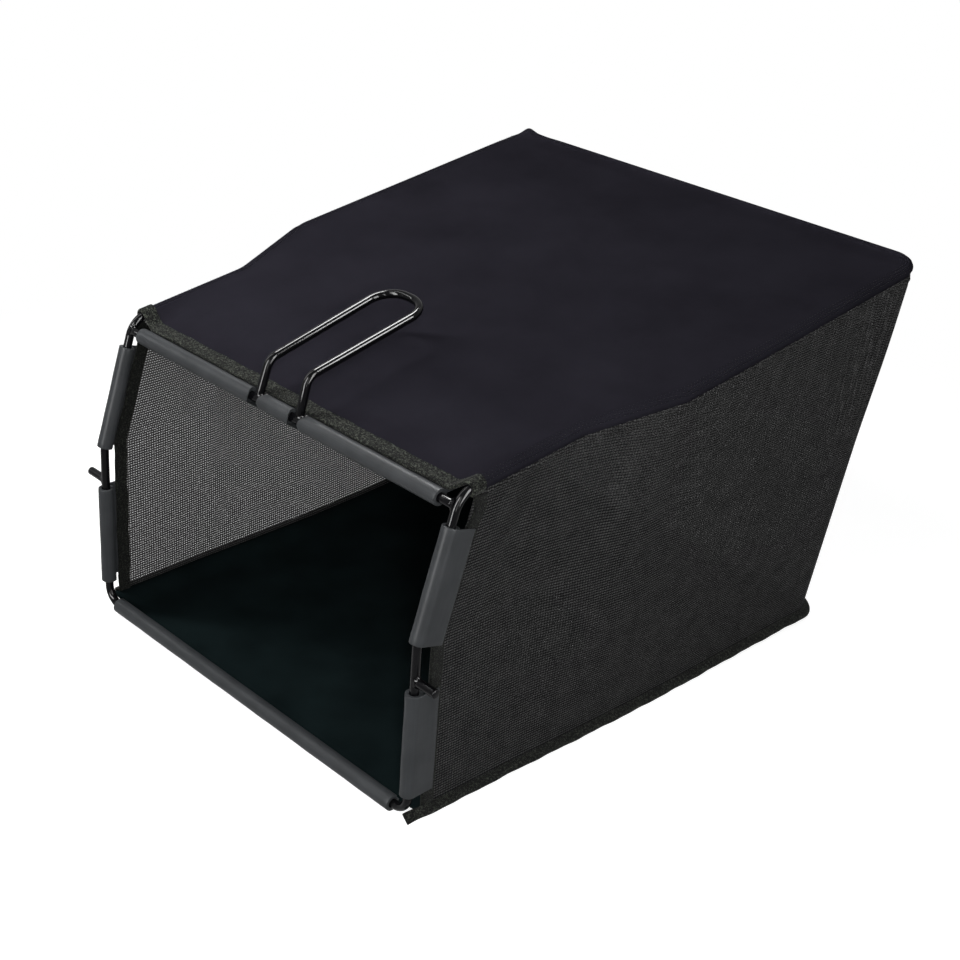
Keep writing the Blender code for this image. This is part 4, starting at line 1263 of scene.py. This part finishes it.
class GRASSBAG_OT_lid(bpy.types.Operator):
    """Lay the lid's cloth over the wires"""
    bl_idname = "grassbag.lid"
    bl_label = "Lid"

    def execute(self, context):
        look = look_of(context, "lid")
        points, quads, uv, top = lid_mesh(look)
        corner = place(-REAR_HALF + NUB_INSETS[0], BAG_DEPTH - NUB_INSETS[1], REAR_RISE)
        away = np.hypot(points[:, 0] - corner[0], points[:, 1] - corner[1])
        drawn = look.nub * bump(away / NUB_WIDTH) - look.nub * 0.06 * bump((away - 0.022) / 0.010)
        points += drawn[:, None] * unit(NUB_WAY)
        piece = make_piece("lid_cloth", points, quads, lid_finish(look), "top_panel", uv[quads],
                           facing=(0, 0, 1), sharp=180)
        thickened(piece, look.thickness)
        return {"FINISHED"}


class GRASSBAG_OT_walls(bpy.types.Operator):
    """Hang the three walls between the lid and the floor seam"""
    bl_idname = "grassbag.walls"
    bl_label = "Walls"

    def execute(self, context):
        look = look_of(context, "wall")
        finish = wall_finish(look)
        for side, word in ((-1, "left"), (1, "right")):
            rows, normals = side_wall(side, look)
            cloth(f"wall_{word}", with_flange(rows, normals), finish, f"{word}_side_panel",
                  (side, 0, 0), look.thickness)
        rows, normals = rear_wall(look)
        cloth("wall_rear", with_flange(rows, normals), finish, "rear_panel", (0, 1, 0),
              look.thickness)
        return {"FINISHED"}


class GRASSBAG_OT_floor(bpy.types.Operator):
    """Lay the floor's cloth"""
    bl_idname = "grassbag.floor"
    bl_label = "Floor"

    def execute(self, context):
        look = look_of(context, "wall")
        cloth("floor_cloth", floor_sheet(look), floor_finish(look), "bottom_panel", (0, 0, 1),
              look.thickness)
        return {"FINISHED"}


class GRASSBAG_OT_tapes(bpy.types.Operator):
    """Fold the tapes over the cloth's cut edges"""
    bl_idname = "grassbag.tapes"
    bl_label = "Tapes"

    def execute(self, context):
        look = look_of(context, "tape")
        finish = tape_finish(look, "fuzzy_tape", look.fleck_colour)
        plain = tape_finish(look, "mouth_tape", scaled(look.fleck_colour, 0.3))
        wall = look_of(context, "wall")
        half = CAD_FABRIC / 2 + GAP + HEM_TAPE
        line, way, outward = lid_front_edge(look_of(context, "lid"))
        section = u_section(-HEM_TAPE - GAP, LID_HEM_WIDTH - HEM_TAPE - GAP, half, HEM_TAPE)
        sections = folded_tape(line, way, outward, section, look.sway, TAPE_LIFT)
        swept("tape_lid_front", sections, finish, "top_front_hem")
        section = u_section(-HEM_TAPE - GAP, HEM_WIDTH - HEM_TAPE - GAP, half, HEM_TAPE)
        for side, word in ((-1, "left"), (1, "right")):
            edge, way, outward = front_column(side_wall(side, wall)[0], side)
            sections = folded_tape(edge, way, outward, section, look.sway, TAPE_LIFT)
            swept(f"tape_{word}_mouth", sections, plain, f"{word}_mouth_hem")
        line = binding_line()
        edge = line * (1, 1, 0) + (seam_lift(line) + BINDING_HEIGHT / 2)[:, None] * (0, 0, 1)
        section = u_section(0, FLANGE - CAD_FABRIC, BINDING_HEIGHT / 2, BINDING)
        section[:, 0] = FLANGE - section[:, 0]
        section[:, 1] += SEAM_TILT * (1 - section[:, 0] / FLANGE)
        upward = np.tile([0, 0, 1.0], (len(line), 1))
        sections = folded_tape(edge, level_normals(line), upward, section, look.sway, 0)
        loose = (1 - smooth_step((line[:, 1] - line[-1, 1]) / LOOSE_LENGTH)) * (line[:, 0] > 0)
        thin = LOOSE_FLATNESS * (section[:, 1] - section[:, 1].mean())
        tilted = LOOSE_FOOT + LOOSE_TILT * (1 - section[:, 0] / FLANGE) + thin
        sections[..., 2] += (tilted - sections[..., 2]) * loose[:, None]
        sections[..., 0] -= LOOSE_SHIFT * loose[:, None]
        seam = tape_finish(look, "seam_tape", scaled(look.fleck_colour, 0.55))
        swept("tape_floor_seam", sections, seam, "bottom_binding")
        return {"FINISHED"}


class GRASSBAG_OT_stitches(bpy.types.Operator):
    """Sew the rows of stitches"""
    bl_idname = "grassbag.stitches"
    bl_label = "Stitches"

    def execute(self, context):
        look = look_of(context, "tape")
        lid = look_of(context, "lid")
        finish = thread_finish(look)
        top = lid_surface(lid)
        normals = np.cross(np.gradient(top, axis=1), np.gradient(top, axis=0))
        normals = unit(normals * np.sign(normals[..., 2:]))
        rows = []
        for distance in SIDE_ROWS:
            column = int(np.abs(lid_columns() * 2 * MOUTH_HALF - distance).argmin())
            for at in (column, -1 - column):
                outward = normals[SEWN_STRETCH, at]
                path = top[SEWN_STRETCH, at] + outward * lid.thickness / 2
                rows.append(stitch_row(path, outward, look))
        for arc_length in SLEEVE_ROWS:
            angle = arc_length / SLEEVE_RADIUS
            for at, side in ((0, -1), (-1, 1)):
                wire = top[SEWN_STRETCH, at] - (0, 0, SLEEVE_RADIUS)
                outward = np.tile([side * math.sin(angle), 0, math.cos(angle)], (len(wire), 1))
                path = wire + outward * (SLEEVE_RADIUS + lid.thickness / 2 - 0.0001)
                rows.append(stitch_row(path, outward, look))
        stitches("stitches_lid", rows, finish)
        half = CAD_FABRIC / 2 + GAP + HEM_TAPE
        line, way, outward = lid_front_edge(lid)
        rows = [stitch_row((line + way * LID_TAPE_ROW + outward * half)[8:-8], outward[8:-8], look)]
        for side in (-1, 1):
            edge, way, outward = front_column(side_wall(side, look_of(context, "wall"))[0], side)
            for face in (-1, 1):
                path = edge + way * MOUTH_TAPE_ROW + outward * half * face
                rows.append(stitch_row(path, outward * face, look))
        line = binding_line()
        top = line * (1, 1, 0) + level_normals(line) * BINDING_ROW
        top[:, 2] = seam_lift(line) + BINDING_HEIGHT + SEAM_TILT * 0.7
        rows.append(stitch_row(top[20:-28], np.tile([0, 0, 1.0], (len(top) - 48, 1)), look))
        stitches("stitches_tapes", rows, finish)
        rows = []
        for *_, foot, head, tail_way, outward, height in channel_places():
            path = np.linspace(foot, head, 40)[1:-1] + tail_way * (CHANNEL_TAIL - TAIL_ROW) + outward * height
            rows.append(stitch_row(path, np.tile(outward, (len(path), 1)), look))
        stitches("stitches_channels", rows, finish)
        return {"FINISHED"}


def lamp(name, power, size, place_at, aim, lights_cloth):
    """A rectangular lamp turned to its aim. One that doesn't light cloth shows in reflections alone."""
    light = bpy.data.lights.new(name, "AREA")
    light.energy = power
    light.shape = "RECTANGLE"
    light.size, light.size_y = size
    made = bpy.data.objects.new(name, light)
    made.location = place_at
    made.rotation_euler = (Vector(aim) - Vector(place_at)).to_track_quat("-Z", "Y").to_euler()
    made.visible_diffuse = lights_cloth
    bpy.context.scene.collection.objects.link(made)
    return made


def glow_for_camera(tree, glow, rest):
    """One shader for the camera and for glossy and transmitted rays, and another for the rest."""
    path = add_node(tree, "LightPath").outputs
    seen = math_node(tree, "MAXIMUM", path["Is Camera Ray"], path["Is Glossy Ray"])
    seen = math_node(tree, "MAXIMUM", seen, path["Is Transmission Ray"])
    return add_node(tree, "MixShader", {"Fac": seen, 1: rest, 2: glow}).outputs["Shader"]


def stage_floor(look):
    """A pale disc: diffuse, with a glow of its own for the camera, so that it is white but keeps
    the shadow of the object."""
    disc = bmesh.new()
    bmesh.ops.create_circle(disc, cap_ends=True, segments=96, radius=12)
    mesh = bpy.data.meshes.new("stage_floor")
    disc.to_mesh(mesh)
    disc.free()
    floor = bpy.data.objects.new("stage_floor", mesh)
    bpy.context.scene.collection.objects.link(floor)
    material = bpy.data.materials.new("stage_floor")
    material.use_nodes = True
    tree = material.node_tree
    tree.nodes.remove(tree.nodes["Principled BSDF"])
    diffuse = add_node(tree, "BsdfDiffuse", {"Color": (0.5, 0.5, 0.5, 1)}).outputs["BSDF"]
    glow = add_node(tree, "Emission", {"Strength": look.floor_glow}).outputs["Emission"]
    both = add_node(tree, "AddShader", {0: diffuse, 1: glow}).outputs["Shader"]
    white = add_node(tree, "Emission", {"Strength": 1.0}).outputs["Emission"]
    reach = add_node(tree, "VectorMath", {0: object_place(tree)}, operation="LENGTH").outputs["Value"]
    away = add_node(tree, "MapRange", {"Value": reach, "From Min": 0.45, "From Max": 0.85},
                    interpolation_type="SMOOTHSTEP").outputs["Result"]
    seen = add_node(tree, "MixShader", {"Fac": away, 1: both, 2: white}).outputs["Shader"]
    tree.links.new(glow_for_camera(tree, seen, diffuse), tree.nodes["Material Output"].inputs["Surface"])
    mesh.materials.append(material)
    return floor


def camera_turn():
    """Rotation of the camera from its yaw, pitch and roll."""
    yaw, pitch, roll = (math.radians(degrees) for degrees in CAMERA_DEGREES)
    forward = Vector((math.sin(yaw) * math.cos(pitch), math.cos(yaw) * math.cos(pitch), -math.sin(pitch)))
    level = forward.cross(Vector((0, 0, 1))).normalized()
    upright = level.cross(forward)
    right = level * math.cos(roll) + upright * math.sin(roll)
    upward = upright * math.cos(roll) - level * math.sin(roll)
    return Matrix((right, upward, -forward)).transposed()


class GRASSBAG_OT_stage(bpy.types.Operator):
    """Set the floor, the lamps, the white surroundings and the camera"""
    bl_idname = "grassbag.stage"
    bl_label = "Stage"

    def execute(self, context):
        look = look_of(context, "stage")
        scene = context.scene
        lamps = [lamp(name, getattr(look, power) * share, size, place_at, aim, lights_cloth)
                 for name, power, share, size, place_at, aim, lights_cloth in LAMPS]
        world = bpy.data.worlds.new("stage_surroundings")
        world.use_nodes = True
        tree = world.node_tree
        plain = tree.nodes["Background"]
        plain.inputs["Color"].default_value = (1, 1, 1, 1)
        plain.inputs["Strength"].default_value = look.sky
        white = add_node(tree, "Background", {"Color": (1, 1, 1, 1), "Strength": 1.0}).outputs["Background"]
        shader = glow_for_camera(tree, white, plain.outputs["Background"])
        tree.links.new(shader, tree.nodes["World Output"].inputs["Surface"])
        scene.world = world
        camera = bpy.data.objects.new("stage_camera", bpy.data.cameras.new("stage_camera"))
        camera.data.lens = look.lens
        camera.data.sensor_width = 36
        camera.data.clip_start = 0.01
        camera.matrix_world = Matrix.Translation(CAMERA_PLACE) @ camera_turn().to_4x4()
        scene.collection.objects.link(camera)
        scene.camera = camera
        scene.view_settings.view_transform = "Standard"
        stage_floor(look)
        return {"FINISHED"}


STEPS = [GRASSBAG_OT_wires, GRASSBAG_OT_channels, GRASSBAG_OT_lid, GRASSBAG_OT_walls, GRASSBAG_OT_floor,
         GRASSBAG_OT_tapes, GRASSBAG_OT_stitches, GRASSBAG_OT_stage]


class GRASSBAG_PT_panel(bpy.types.Panel):
    """Sizes, colours and steps of the grass bag"""
    bl_idname = "GRASSBAG_PT_panel"
    bl_label = "Grass Bag"
    bl_space_type = "VIEW_3D"
    bl_region_type = "UI"
    bl_category = "Grass Bag"

    def draw(self, context):
        for step in STEPS:
            self.layout.operator(step.bl_idname)
        for name, group in LOOKS.items():
            box = self.layout.box()
            box.label(text=name.title())
            for key in group.__annotations__:
                box.prop(look_of(context, name), key)


def register():
    """Add the groups of values, the steps and the panel."""
    for group in LOOKS.values():
        bpy.utils.register_class(group)
    for name, group in LOOKS.items():
        setattr(bpy.types.Scene, "grass_bag_" + name, PointerProperty(type=group))
    for step in STEPS:
        bpy.utils.register_class(step)
    bpy.utils.register_class(GRASSBAG_PT_panel)


def unregister():
    """Take the panel, the steps and the groups of values out again."""
    bpy.utils.unregister_class(GRASSBAG_PT_panel)
    for step in reversed(STEPS):
        bpy.utils.unregister_class(step)
    for name, group in LOOKS.items():
        delattr(bpy.types.Scene, "grass_bag_" + name)
        bpy.utils.unregister_class(group)


def main():
    """Run every step."""
    register()
    bpy.ops.grassbag.wires()
    bpy.ops.grassbag.channels()
    bpy.ops.grassbag.lid()
    bpy.ops.grassbag.walls()
    bpy.ops.grassbag.floor()
    bpy.ops.grassbag.tapes()
    bpy.ops.grassbag.stitches()
    bpy.ops.grassbag.stage()


if __name__ == "__main__":
    main()
